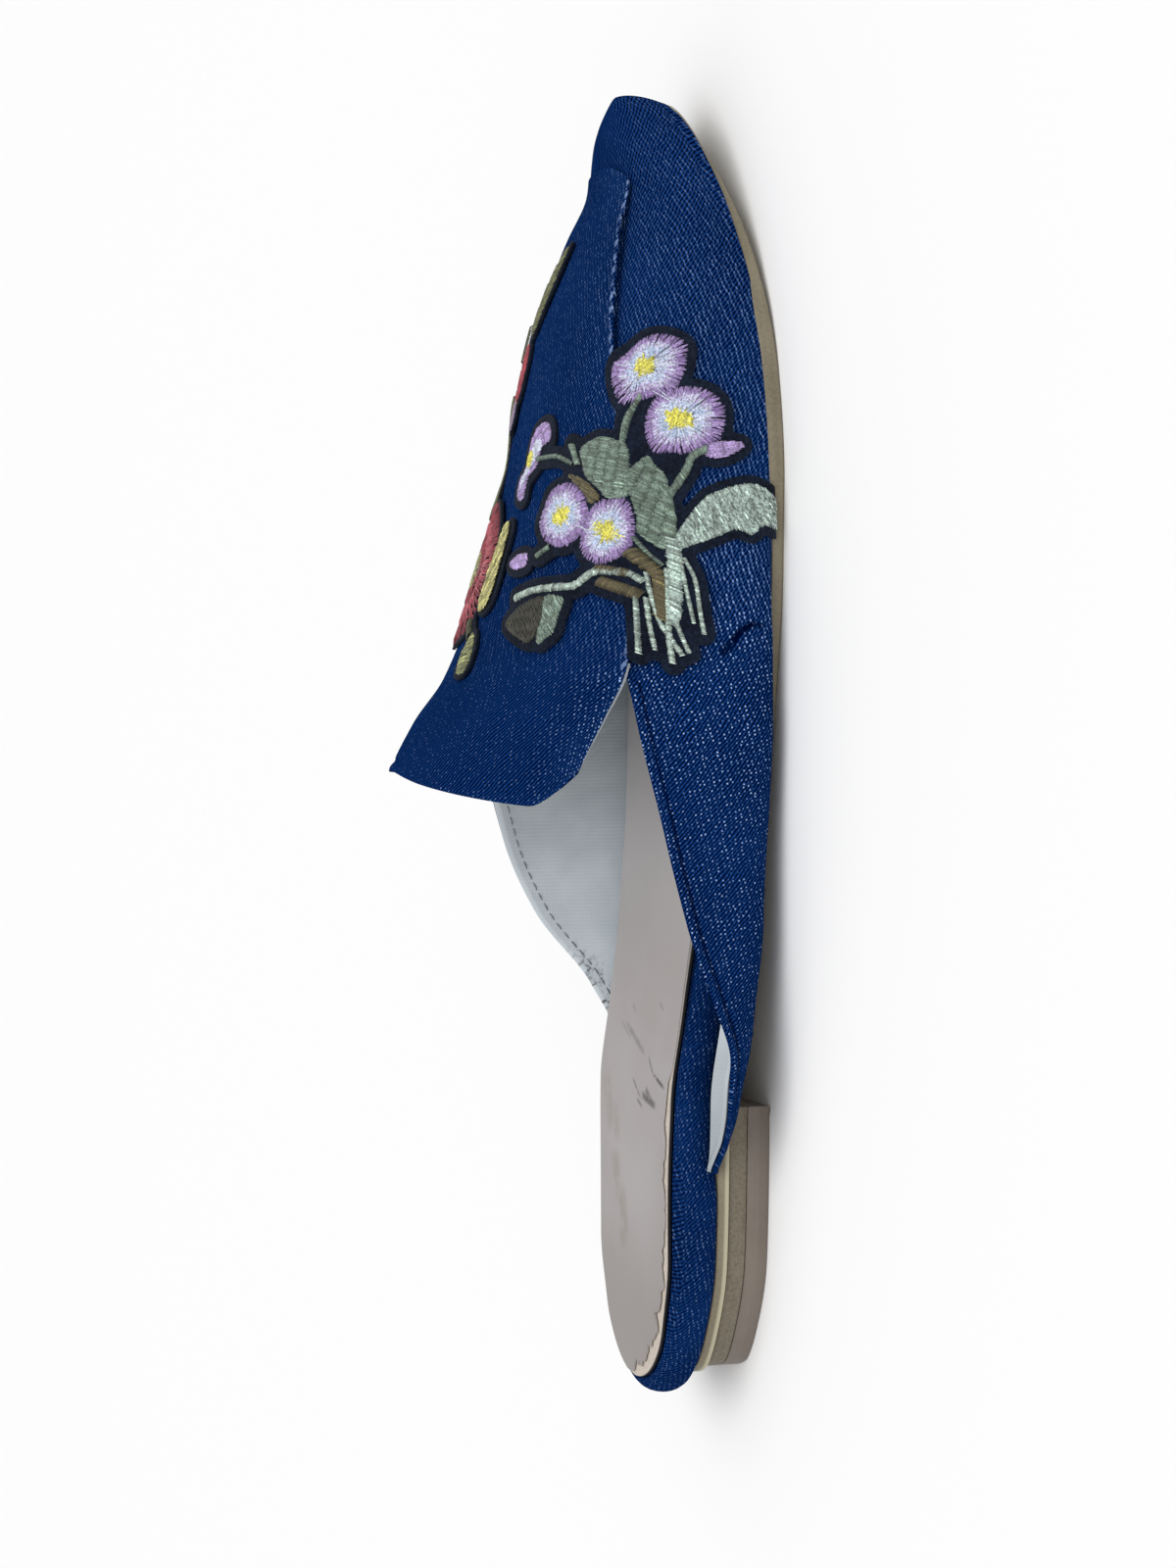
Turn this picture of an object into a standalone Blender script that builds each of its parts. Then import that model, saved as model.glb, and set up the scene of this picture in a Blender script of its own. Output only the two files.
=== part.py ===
"""A right-foot loafer mule: denim vamp and quarters on a pointed flat last, a raised apron that runs on
as a stand-up tongue tab, a denim-wrapped footbed with a leather sock, a thin outsole with a low stacked
heel, and two embroidered patches. The heel end is at -X, the toe at +X, the outer side at -Y."""

import math
from collections import namedtuple

import bmesh
import bpy
import numpy as np
from mathutils import Vector
from mathutils.geometry import delaunay_2d_cdt

MM = 0.001  # the sizes and tables below are in millimetres, the meshes in metres

# Driving dimensions
LENGTH = 276.0  # back of the heel rim to the tip of the toe
GAP = 0.3  # clearance between pieces that meet
WALL = 2.0  # denim, stiffener and lining of the upper together
APRON_THICK = 1.4  # raised denim panel on the vamp
TAB_THICK = 2.0  # the same panel, lined, where it stands free as the tongue tab
OUTSOLE_THICK = 2.6
HEEL_BASE_THICK = 3.2
TOP_LIFT_THICK = 4.8
SOCK_THICK = 0.9
FOOTBED_CLEARANCE = 0.4  # between the footbed's edge and the inside of the quarters
RIM_TURN = 6.0  # length over which the footbed's edge turns in behind the quarters' ends
RIM_SWELL = 1.2  # how far the footbed's rolled edge stands out past the outsole behind the quarters
HEEL_BREAST_X = 61.0  # front face of the heel, from the heel end
TAIL_X = 49.0  # where the quarters run out at the back
NOTCH_X = 149.5  # where the topline meets the tongue tab
TAB_END_X = 123.6  # free edge of the tongue tab
APRON_TOE_X = 258.5  # front edge of the raised apron
APRON_CORNER = 5.0  # how far that edge falls back at its corners
TAB_CURVE = 6.2  # how much shorter the tab is from the ridge inwards than near its outer corner
TAB_CORNER = 7.2  # rounding of the tab's corners
TAB_LOW = 0.86  # share of its half width at which the tab reaches furthest back
TOE_OVERHANG = 1.6  # how far the toe of the upper stands out past the outsole
TOE_OVERHANG_X = 245.0  # where that starts
BELLY_SAG = 0.8  # how much the outer wall's belly hangs down for how far it stands out
SOLE_INSET = 4.2  # how far the outsole stops short of the footbed's rim at the back
HEEL_INSET = 4.6  # how far the heel block does
HEEL_SETBACK = 0.3  # how far the heel block stands in from the outsole at the sides
HEEL_CORNER = 4.0  # rounding of its back corners

HEEL_TOP = TOP_LIFT_THICK + GAP + HEEL_BASE_THICK + GAP  # underside of the outsole over the heel

# Section fullness: exponents of the superelliptic arch of the upper
SIDE_FULLNESS = 2.25
CROWN_FULLNESS = 2.15
SWELL_PEAK = 6.75  # makes the cubic that carries the walls' swell reach 1 at a third of the way up

# The notch between topline and tongue tab: crown of the arch there, and angles round the section
NOTCH_CROWN = 53.5
NOTCH_LATERAL = 30.3
NOTCH_MEDIAL = 46.0


def arch_height(crown, degrees):
    """Height over the feather line at an angle round the section."""
    return crown * math.sin(math.radians(degrees)) ** (2 / CROWN_FULLNESS)


NOTCH_LATERAL_HEIGHT = arch_height(NOTCH_CROWN, NOTCH_LATERAL)
NOTCH_MEDIAL_HEIGHT = arch_height(NOTCH_CROWN, NOTCH_MEDIAL)

# Feather line, where the upper meets the sole: reach to each side of the heel axis
Outline = namedtuple("Outline", "x lateral medial")
OUTLINE = [
    Outline(0, 0, 0),
    Outline(6, 15.5, 15.5),
    Outline(14, 22.5, 22.5),
    Outline(30, 29.5, 28.0),
    Outline(55, 31.5, 28.0),
    Outline(85, 32.5, 26.5),
    Outline(115, 35.0, 28.5),
    Outline(145, 39.0, 35.0),
    Outline(172, 42.0, 41.5),
    Outline(190, 42.5, 43.5),
    Outline(212, 39.5, 42.5),
    Outline(235, 31.0, 36.5),
    Outline(254, 19.5, 27.5),
    Outline(266, 10.0, 20.0),
    Outline(273, 2.0, 13.5),
    Outline(LENGTH, -6.0, 6.0),
]

# Underside of the outsole, with the heel pitch, the flat tread and the toe spring,
# and the height of the footbed's top over the outsole
Bottom = namedtuple("Bottom", "x rise footbed")
BOTTOM = [
    Bottom(0, HEEL_TOP, 7.2),
    Bottom(63, HEEL_TOP, 7.2),
    Bottom(80, 6.4, 7.6),
    Bottom(102, 3.4, 7.8),
    Bottom(128, 1.4, 7.0),
    Bottom(152, 0.4, 5.6),
    Bottom(170, 0.0, 4.8),
    Bottom(205, 0.0, 4.2),
    Bottom(226, 0.8, 4.0),
    Bottom(246, 3.0, 3.8),
    Bottom(262, 6.2, 3.6),
    Bottom(LENGTH, 9.8, 3.4),
]

# Arch of the upper: height of the crown over the feather line, sideways place of the ridge,
# and how far the walls swell past the feather line
Arch = namedtuple("Arch", "x crown ridge swell")
ARCH = [
    Arch(0, 67.0, 2.0, 0.0),
    Arch(60, 67.0, 2.0, 3.0),
    Arch(102, 68.0, 2.0, 4.0),
    Arch(128, 65.0, 3.0, 4.0),
    Arch(140, 60.0, 3.5, 3.2),
    Arch(NOTCH_X, NOTCH_CROWN, 4.0, 2.5),
    Arch(170, 45.5, 4.5, 1.8),
    Arch(187, 40.2, 5.0, 1.2),
    Arch(205, 36.3, 6.0, 1.0),
    Arch(224, 31.2, 6.0, 1.0),
    Arch(240, 24.8, 6.0, 1.0),
    Arch(255, 17.0, 6.0, 0.8),
    Arch(265, 14.5, 6.0, 0.5),
    Arch(273, 10.5, 6.0, 0.2),
    Arch(LENGTH, 7.0, 6.0, 0.0),
]

# Topline of the quarters: height of the wall over the feather line, and how far the worn wall leans
# outwards about that line, in degrees
Topline = namedtuple("Topline", "x lateral medial lateral_lean medial_lean")
TOPLINE = [
    Topline(TAIL_X, 2.0, 2.5, 60.0, 5.0),
    Topline(52, 4.6, 2.8, 74.0, 6.0),
    Topline(56, 8.5, 3.2, 78.0, 8.0),
    Topline(62, 12.0, 4.0, 78.0, 9.0),
    Topline(72, 13.5, 4.4, 74.0, 11.0),
    Topline(84, 14.5, 11.2, 52.0, 13.0),
    Topline(100, 17.0, 25.7, 24.0, 12.0),
    Topline(118, 20.8, 34.7, 9.0, 8.0),
    Topline(136, 25.5, 39.0, 2.0, 3.0),
    Topline(NOTCH_X, NOTCH_LATERAL_HEIGHT, NOTCH_MEDIAL_HEIGHT, 0.0, 0.0),
]

# Belly of the soft outer wall: how far it bulges past the feather line low down, hiding the sole's edge
Belly = namedtuple("Belly", "x out")
BELLY = [
    Belly(0, 0.0),
    Belly(TAIL_X, 0.0),
    Belly(56, 1.5),
    Belly(62, 3.0),
    Belly(72, 4.2),
    Belly(84, 5.2),
    Belly(100, 6.0),
    Belly(118, 6.0),
    Belly(136, 5.6),
    Belly(NOTCH_X, 4.4),
    Belly(172, 2.0),
    Belly(200, 0.0),
    Belly(LENGTH, 0.0),
]

# Seam of the apron: angle round the section from the feather line, 90 degrees at the ridge
Seam = namedtuple("Seam", "x lateral medial")
SEAM = [
    Seam(TAB_END_X, 34.5, 44.0),
    Seam(NOTCH_X, NOTCH_LATERAL, NOTCH_MEDIAL),
    Seam(188, 40.0, 46.0),
    Seam(224, 51.0, 52.0),
    Seam(APRON_TOE_X, 54.0, 54.0),
    Seam(LENGTH, 54.0, 54.0),
]

# Rolled edge of the footbed: how far in from its plan each level lies, and its share of the height
Level = namedtuple("Level", "inset share")
ROLLED_EDGE = [
    Level(1.6, 0.0),
    Level(0.4, 0.16),
    Level(0.0, 0.45),
    Level(0.5, 0.75),
    Level(1.6, 0.94),
    Level(3.4, 1.0),
]
# How far in from the feather line the sock ends on each side.
SockEdge = namedtuple("SockEdge", "x lateral medial")
SOCK = [
    SockEdge(0, 2.2, 2.2),
    SockEdge(8, 2.8, 2.8),
    SockEdge(20, 5.2, 4.2),
    SockEdge(45, 7.6, 4.6),
    SockEdge(84, 4.6, 4.6),
    SockEdge(276, 4.6, 4.6),
]

# Embroidered patches: rounded lobes whose union is the outline of a patch. Each lobe has its middle as x
# along the shoe and girth up from the feather line on its own side, half sizes along and across the shoe,
# and a turn in degrees
Lobe = namedtuple("Lobe", "what x girth half_along half_across turn")
VIOLETS = [
    Lobe("front flower", 211.5, 23.4, 8.8, 9.4, 0),
    Lobe("outer flower", 200.2, 17.4, 8.3, 9.5, 0),
    Lobe("top flower", 182.0, 44.7, 8.2, 8.4, 0),
    Lobe("middle flower", 178.0, 34.0, 8.2, 7.7, 0),
    Lobe("side flower", 194.5, 56.0, 10.8, 4.4, 30),
    Lobe("side flower stem", 193.4, 46.5, 2.8, 8.5, 5),
    Lobe("outer bud", 194.2, 10.0, 3.4, 6.0, 8),
    Lobe("outer bud stem", 189.5, 17.0, 6.0, 2.8, 30),
    Lobe("fan leaf", 191.0, 34.0, 8.0, 7.4, 0),
    Lobe("long leaf", 184.0, 24.4, 11.2, 6.0, -5),
    Lobe("wavy leaf", 180.4, 11.2, 6.2, 10.6, -16),
    Lobe("gathered stems", 170.5, 24.6, 8.0, 7.2, 0),
    Lobe("stem ends", 160.5, 24.6, 10.5, 9.4, 0),
    Lobe("branch", 168.0, 41.5, 3.6, 14.5, -5),
    Lobe("back leaf", 160.4, 52.6, 6.8, 9.4, 0),
    Lobe("top bud", 174.0, 54.4, 3.0, 7.8, -11),
]
RED_FLOWER = [
    Lobe("bloom", 173.0, 61.0, 19.0, 15.5, 0),
    Lobe("stem", 198.0, 53.0, 13.0, 3.0, 20),
    Lobe("bud", 216.5, 46.0, 8.0, 5.5, 20),
    Lobe("front leaf", 232.0, 41.5, 11.0, 3.6, 12),
    Lobe("back leaf", 154.5, 74.0, 7.0, 5.0, 40),
]
PATCH_THICK = 1.3
LOBE_POINTS = 22
PATCH_GRID = 5.5  # spacing of the extra points that let a patch follow the curve under it
RAMP = (7.0, 1.2)  # where, outside the apron's edge, a patch starts to climb and has climbed onto it

# Grid counts
SIDE_CELLS = 7
APRON_CELLS = 10
QUARTER_ROWS = 18
VAMP_ROWS = 22
TAB_ROWS = 5
APRON_ROWS = 16
SOLE_STATIONS = 40
HEEL_STATIONS = 16
SHARP_ANGLE = math.radians(40)  # edges sharper than this are shaded as edges


def station(x):
    """Stretched coordinate along the shoe in which both rounded ends are straight lines."""
    return np.arccos(np.clip(1 - 2 * np.asarray(x, float) / LENGTH, -1, 1)) / math.pi


def column(table, name, x):
    """Smooth value of one named column of a table at x, with no overshoot between its rows."""
    keys = station([row.x for row in table])
    values = np.array([getattr(row, name) for row in table], float)
    at = station(x)
    steps = np.diff(keys)
    slopes = np.diff(values) / steps
    tangents = np.zeros_like(values)
    tangents[0], tangents[-1] = slopes[0], slopes[-1]
    for i in range(1, len(values) - 1):
        if slopes[i - 1] * slopes[i] > 0:
            before, after = 2 * steps[i] + steps[i - 1], steps[i] + 2 * steps[i - 1]
            tangents[i] = (before + after) / (before / slopes[i - 1] + after / slopes[i])
    i = np.clip(np.searchsorted(keys, at, side="right") - 1, 0, len(values) - 2)
    t = np.clip((at - keys[i]) / steps[i], 0, 1)
    start = (1 + 2 * t) * (1 - t) ** 2 * values[i] + t * (1 - t) ** 2 * steps[i] * tangents[i]
    end = t**2 * (3 - 2 * t) * values[i + 1] + t**2 * (t - 1) * steps[i] * tangents[i + 1]
    return start + end


def feather_height(x):
    """Height at which the upper and the footbed start, just over the outsole."""
    return column(BOTTOM, "rise", x) + OUTSOLE_THICK + GAP


def smooth_step(t):
    t = np.clip(t, 0, 1)
    return t * t * (3 - 2 * t)


def topline_angle(x, side):
    """Angle round the section at which a quarter ends, measured from its own feather line."""
    share = column(TOPLINE, side, x) / column(ARCH, "crown", x)
    return np.arcsin(share ** (CROWN_FULLNESS / 2))


def edge_angle(x, side):
    """The topline behind the notch and the apron seam in front of it."""
    seam = np.radians(column(SEAM, side, np.maximum(x, NOTCH_X)))
    return np.where(np.asarray(x) < NOTCH_X, topline_angle(np.minimum(x, NOTCH_X), side), seam)


def upper_point(x, angle):
    """Outer face of the upper: x from the heel end, angle from the lateral feather line over the ridge
    to the medial feather line at pi."""
    x, angle = np.broadcast_arrays(np.asarray(x, float), np.asarray(angle, float))
    lateral = angle <= math.pi / 2
    rise = np.where(lateral, angle, math.pi - angle)
    ridge = column(ARCH, "ridge", x)
    reach = np.where(lateral, column(OUTLINE, "lateral", x) + ridge, column(OUTLINE, "medial", x) - ridge)
    share = rise / (math.pi / 2)
    swell = column(ARCH, "swell", x) * SWELL_PEAK * share * (1 - share) ** 2
    out = reach * np.abs(np.cos(rise)) ** (2 / SIDE_FULLNESS) + swell
    up = column(ARCH, "crown", x) * np.abs(np.sin(rise)) ** (2 / CROWN_FULLNESS)
    behind = np.minimum(x, NOTCH_X)
    lean = np.where(lateral, column(TOPLINE, "lateral_lean", behind), column(TOPLINE, "medial_lean", behind))
    side_top = np.where(lateral, topline_angle(behind, "lateral"), topline_angle(behind, "medial"))
    in_quarter = (x < NOTCH_X) & (rise <= side_top + 1e-9)
    turn = np.radians(np.where(in_quarter, lean, 0.0))
    over = out - reach
    out = reach + over * np.cos(turn) + up * np.sin(turn)
    up = up * np.cos(turn) - over * np.sin(turn)
    wall_share = np.clip(rise / edge_angle(x, "lateral"), 0, 1)
    belly = np.where(lateral, column(BELLY, "out", x) * np.sin(math.pi * np.sqrt(wall_share)), 0.0)
    out, up = out + belly, up - BELLY_SAG * belly
    y = ridge + np.where(lateral, -out, out)
    return np.stack([x, y, feather_height(x) + up], axis=-1)


def surface_normals(points):
    """Outward unit normals of a grid of points, rows heel to toe and columns lateral to medial."""
    along = np.gradient(points, axis=0)
    across = np.gradient(points, axis=1)
    normals = np.cross(along, across)
    lengths = np.linalg.norm(normals, axis=-1, keepdims=True)
    return normals / np.maximum(lengths, 1e-9)


def make_object(name, points, faces, finish):
    """A mesh object in metres from points in millimetres, welded, with its faces turned outwards."""
    mesh = bpy.data.meshes.new(name)
    mesh.from_pydata([tuple(p) for p in np.asarray(points) * MM], [], faces)
    solid = bmesh.new()
    solid.from_mesh(mesh)
    bmesh.ops.remove_doubles(solid, verts=solid.verts, dist=1e-6)
    bmesh.ops.dissolve_degenerate(solid, edges=solid.edges, dist=1e-7)
    bmesh.ops.recalc_face_normals(solid, faces=solid.faces)
    solid.to_mesh(mesh)
    solid.free()
    mesh.shade_smooth()
    mesh.set_sharp_from_angle(angle=SHARP_ANGLE)
    obj = bpy.data.objects.new(name, mesh)
    bpy.context.scene.collection.objects.link(obj)
    mesh.materials.append(finish)
    return obj


def finish(name, colour, roughness):
    """A plain principled material."""
    material = bpy.data.materials.new(name)
    material.use_nodes = True
    shader = material.node_tree.nodes["Principled BSDF"]
    shader.inputs["Base Color"].default_value = (*colour, 1)
    shader.inputs["Roughness"].default_value = roughness
    shader.inputs["Metallic"].default_value = 0.0
    return material


def sheet_solid(name, outer, inner, cells, material):
    """A wall between two grids of points over the cells that are set, closed all round its edge."""
    rows, columns = cells.shape
    offset = (rows + 1) * (columns + 1)
    keys = [tuple(p) for p in np.round(outer.reshape(-1, 3), 4)]
    first = {}
    index = np.array([first.setdefault(key, i) for i, key in enumerate(keys)]).reshape(rows + 1, columns + 1)
    faces, edges = [], {}
    for r in range(rows):
        for c in range(columns):
            if not cells[r, c]:
                continue
            quad = [index[r, c], index[r, c + 1], index[r + 1, c + 1], index[r + 1, c]]
            quad = [int(v) for v in dict.fromkeys(quad)]
            faces.append(quad)
            faces.append([v + offset for v in reversed(quad)])
            for a, b in zip(quad, quad[1:] + quad[:1]):
                edges[(a, b)] = True
    rim = [(a, b) for a, b in edges if (b, a) not in edges]
    faces += [[b, a, a + offset, b + offset] for a, b in rim]
    points = np.concatenate([outer.reshape(-1, 3), inner.reshape(-1, 3)])
    used = sorted({v for face in faces for v in face})
    renumber = {old: new for new, old in enumerate(used)}
    faces = [[renumber[v] for v in face] for face in faces]
    return make_object(name, points[used], faces, material)


def offset_ring(ring, inset):
    """A closed plan outline moved inwards along its own normals."""
    ahead, behind = np.roll(ring, -1, axis=0), np.roll(ring, 1, axis=0)
    tangent = ahead - behind
    tangent /= np.maximum(np.linalg.norm(tangent, axis=1, keepdims=True), 1e-9)
    inward = np.stack([-tangent[:, 1], tangent[:, 0]], axis=1)
    return ring + inward * np.reshape(inset, (-1, 1))


def sole_stations(end=LENGTH, count=SOLE_STATIONS):
    """Stations from the heel end, closer together where the outline turns."""
    return LENGTH * (1 - np.cos(np.linspace(0, station(end) * math.pi, count))) / 2


def squared_end(stations, back):
    """Share of the outline's reach that a plan with a nearly square back end has at each station."""
    corner = np.clip(1 - (stations - back) / HEEL_CORNER, 0, 1)
    return (1 - corner**3) ** (1 / 3)


def plan_ring(stations, fullness=1.0):
    """The feather line in plan: lateral side from heel to toe, then the medial side back."""
    lateral = np.stack([stations, -column(OUTLINE, "lateral", stations) * fullness], axis=1)
    medial = np.stack([stations, column(OUTLINE, "medial", stations) * fullness], axis=1)
    whole = math.isclose(stations[-1], LENGTH)
    return np.concatenate([lateral, medial[-2:0:-1] if whole else medial[:0:-1]])


def ring_solid(name, rings, whole, material):
    """A solid lofted through rings of equal count, capped above and below by ladders across the shoe."""
    count = len(rings[0])
    points = np.concatenate(rings)
    faces = []
    for level in range(len(rings) - 1):
        low, high = level * count, (level + 1) * count
        for i in range(count):
            j = (i + 1) % count
            faces.append([low + i, low + j, high + j, high + i])
    rungs = count // 2 if whole else (count - 1) // 2
    for base in (0, (len(rings) - 1) * count):
        for i in range(rungs):
            j, far_i, far_j = i + 1, (count - i) % count, count - i - 1
            corners = [i, j, far_j, far_i]
            faces.append([base + v for v in dict.fromkeys(corners)])
    return make_object(name, points, faces, material)


def raised(ring, heights):
    return np.column_stack([ring, np.broadcast_to(heights, len(ring))])


def build_upper(material):
    """Vamp and quarters as one wall, open at the throat, along the topline and underneath."""
    back = np.linspace(TAIL_X, NOTCH_X, QUARTER_ROWS + 1)
    front = NOTCH_X + (LENGTH - NOTCH_X) * np.sin(np.linspace(0, math.pi / 2, VAMP_ROWS + 1))
    stations = np.concatenate([back, front[1:]])
    lateral, medial = edge_angle(stations, "lateral"), edge_angle(stations, "medial")
    side = np.linspace(0, 1, SIDE_CELLS + 1)
    middle = np.linspace(0, 1, APRON_CELLS + 1)[1:-1]
    angles = np.concatenate(
        [
            lateral[:, None] * side,
            lateral[:, None] + (math.pi - medial - lateral)[:, None] * middle,
            math.pi - medial[:, None] * side[::-1],
        ],
        axis=1,
    )
    outer = upper_point(stations[:, None], angles)
    cells = np.ones((len(stations) - 1, angles.shape[1] - 1), bool)
    cells[:QUARTER_ROWS, SIDE_CELLS : SIDE_CELLS + APRON_CELLS] = False
    inner = outer - WALL * wall_normals(outer, cells)
    inner[-1] = outer[-1] - (WALL, 0, 0)
    return sheet_solid("upper", outer, inner, cells, material)


def wall_normals(points, cells):
    """Normals at the grid points, averaged only over the cells that are part of the wall."""
    total = np.zeros_like(points)
    for r, c in zip(*np.nonzero(cells)):
        a, b = points[r, c], points[r, c + 1]
        d, e = points[r + 1, c], points[r + 1, c + 1]
        normal = np.cross(e - a, b - d)
        normal /= max(np.linalg.norm(normal), 1e-9)
        for i, j in ((r, c), (r, c + 1), (r + 1, c), (r + 1, c + 1)):
            total[i, j] += normal
    lengths = np.linalg.norm(total, axis=-1, keepdims=True)
    return total / np.maximum(lengths, 1e-9)


def apron_thick(x):
    """Thickness of the apron, growing where it turns into the lined tongue tab."""
    share = smooth_step((np.asarray(x, float) - TAB_END_X) / (NOTCH_X - TAB_END_X))
    return TAB_THICK + (APRON_THICK - TAB_THICK) * share


def build_apron(material):
    """The raised panel on the vamp, running on behind the throat as the free tongue tab."""
    across = np.linspace(-1, 1, APRON_CELLS + 1)
    toe_edge = APRON_TOE_X - APRON_CORNER * np.abs(across) ** 4
    curve = np.clip(1 - (np.maximum(-across, 0) / TAB_LOW) ** 2, 0, 1) ** 1.5
    corner = np.clip((np.abs(across) - TAB_LOW) / (1 - TAB_LOW), 0, 1) ** 1.8
    tab_edge = TAB_END_X + TAB_CURVE * curve + TAB_CORNER * corner
    rows = [tab_edge + (NOTCH_X - tab_edge) * share for share in np.linspace(0, 1, TAB_ROWS + 1)]
    vamp_share = np.linspace(0, 1, APRON_ROWS + 1)[1:]
    rows += [NOTCH_X + (toe_edge - NOTCH_X) * share for share in vamp_share]
    stations = np.array(rows)
    lateral = np.radians(column(SEAM, "lateral", stations))
    medial = np.radians(column(SEAM, "medial", stations))
    angles = lateral + (math.pi - medial - lateral) * (across + 1) / 2
    base = upper_point(stations, angles)
    normals = surface_normals(base)
    inner = base + GAP * normals
    outer = inner + apron_thick(stations)[..., None] * normals
    cells = np.ones((stations.shape[0] - 1, stations.shape[1] - 1), bool)
    return sheet_solid("apron_tab", outer, inner, cells, material)


def build_outsole(material):
    """The thin sole under the whole foot, its edge eased above and below."""
    top_edge, low_edge = 0.4, 0.7
    levels = [(low_edge, 0.0), (0.0, low_edge), (0.0, OUTSOLE_THICK - top_edge), (top_edge, OUTSOLE_THICK)]
    x = SOLE_INSET + (1 - SOLE_INSET / LENGTH) * sole_stations()
    plan = plan_ring(x, squared_end(x, SOLE_INSET))
    toe = smooth_step((plan[:, 0] - TOE_OVERHANG_X) / (LENGTH - TOE_OVERHANG_X))
    rings = []
    for inset, height in levels:
        ring = offset_ring(plan, inset + TOE_OVERHANG * toe)
        rings.append(raised(ring, column(BOTTOM, "rise", ring[:, 0]) + height))
    return ring_solid("outsole", rings, True, material)


def heel_ring():
    """Plan of the heel: the sole's outline, cut off nearly square at the back and straight at the breast."""
    x = HEEL_INSET + (HEEL_BREAST_X - HEEL_INSET) * np.linspace(0, 1, HEEL_STATIONS) ** 2
    return offset_ring(plan_ring(x, squared_end(x, HEEL_INSET)), HEEL_SETBACK)


def build_heel(material, lift_material):
    """The stacked heel: a base layer under the outsole and the top lift that meets the floor."""
    ring = heel_ring()
    bevel = 0.5
    lift = [(bevel, 0.0), (0.0, bevel), (0.0, TOP_LIFT_THICK)]
    base_low = TOP_LIFT_THICK + GAP
    base = [(bevel, base_low), (0.0, base_low + bevel), (0.0, base_low + HEEL_BASE_THICK)]
    lift_rings = [raised(offset_ring(ring, inset), height) for inset, height in lift]
    base_rings = [raised(offset_ring(ring, inset), height) for inset, height in base]
    ring_solid("top_lift", lift_rings, False, lift_material)
    ring_solid("heel_base", base_rings, False, material)


def footbed_ring():
    """Plan of the footbed: out to the sole's edge behind the quarters, inside their walls in front."""
    stations = sole_stations()
    ring = plan_ring(stations)
    inside = smooth_step((ring[:, 0] - TAIL_X + RIM_TURN + 1) / RIM_TURN)
    return offset_ring(ring, (WALL + FOOTBED_CLEARANCE) * inside - RIM_SWELL * (1 - inside))


def build_footbed(material):
    """The wrapped platform under the sock, with a rolled edge."""
    rings = []
    for level in ROLLED_EDGE:
        ring = offset_ring(footbed_ring(), level.inset)
        height = level.share * column(BOTTOM, "footbed", ring[:, 0])
        rings.append(raised(ring, feather_height(ring[:, 0]) + height))
    return ring_solid("footbed", rings, True, material)


def build_sock(material):
    """The leather cover that lies on the footbed."""
    stations = sole_stations()
    lateral, medial = column(SOCK, "lateral", stations), column(SOCK, "medial", stations)
    ring = offset_ring(plan_ring(stations), np.concatenate([lateral, medial[-2:0:-1]]))
    low = feather_height(ring[:, 0]) + column(BOTTOM, "footbed", ring[:, 0]) + GAP
    rings = [raised(ring, low), raised(ring, low + SOCK_THICK)]
    return ring_solid("sock", rings, True, material)


def girth_angles(x, side):
    """Angles round the section at x and their girth from the feather line of one side."""
    angles = np.linspace(0, math.pi, 181)
    if side == "medial":
        angles = angles[::-1]
    steps = np.diff(upper_point(np.full(angles.shape, x), angles), axis=0)
    return angles, np.concatenate([[0], np.cumsum(np.linalg.norm(steps, axis=1))])


def seam_girth(x, side):
    """Girth of the apron seam from the feather line of one side."""
    angles, girths = girth_angles(x, side)
    seam = math.radians(float(column(SEAM, side, x)))
    if side == "medial":
        seam = math.pi - seam
    order = np.argsort(angles)
    return float(np.interp(seam, angles[order], girths[order]))


def drape(x, girth, side):
    """Point just clear of the upper or, past its seam, of the apron, and the normal there."""
    angles, girths = girth_angles(x, side)
    angle = float(np.interp(girth, girths, angles))
    step, turn = 0.5, 0.0125
    along = upper_point(x + step, angle) - upper_point(x - step, angle)
    across = upper_point(x, angle + turn) - upper_point(x, angle - turn)
    normal = np.cross(along, across)
    normal /= np.linalg.norm(normal)
    start, end = RAMP
    climb = float(np.clip((girth - seam_girth(x, side) + start) / (start - end), 0, 1))
    return upper_point(x, angle) + normal * (GAP + climb * (float(apron_thick(x)) + GAP)), normal


def lobe_outline(lobe):
    """Closed outline of one lobe in the patch's flat plane of x and girth."""
    outline = []
    turn = math.radians(lobe.turn)
    for step in range(LOBE_POINTS):
        a = 2 * math.pi * step / LOBE_POINTS
        along, across = lobe.half_along * math.cos(a), lobe.half_across * math.sin(a)
        x = lobe.x + along * math.cos(turn) + across * math.sin(turn)
        girth = lobe.girth - along * math.sin(turn) + across * math.cos(turn)
        outline.append((x, girth))
    return outline


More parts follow.
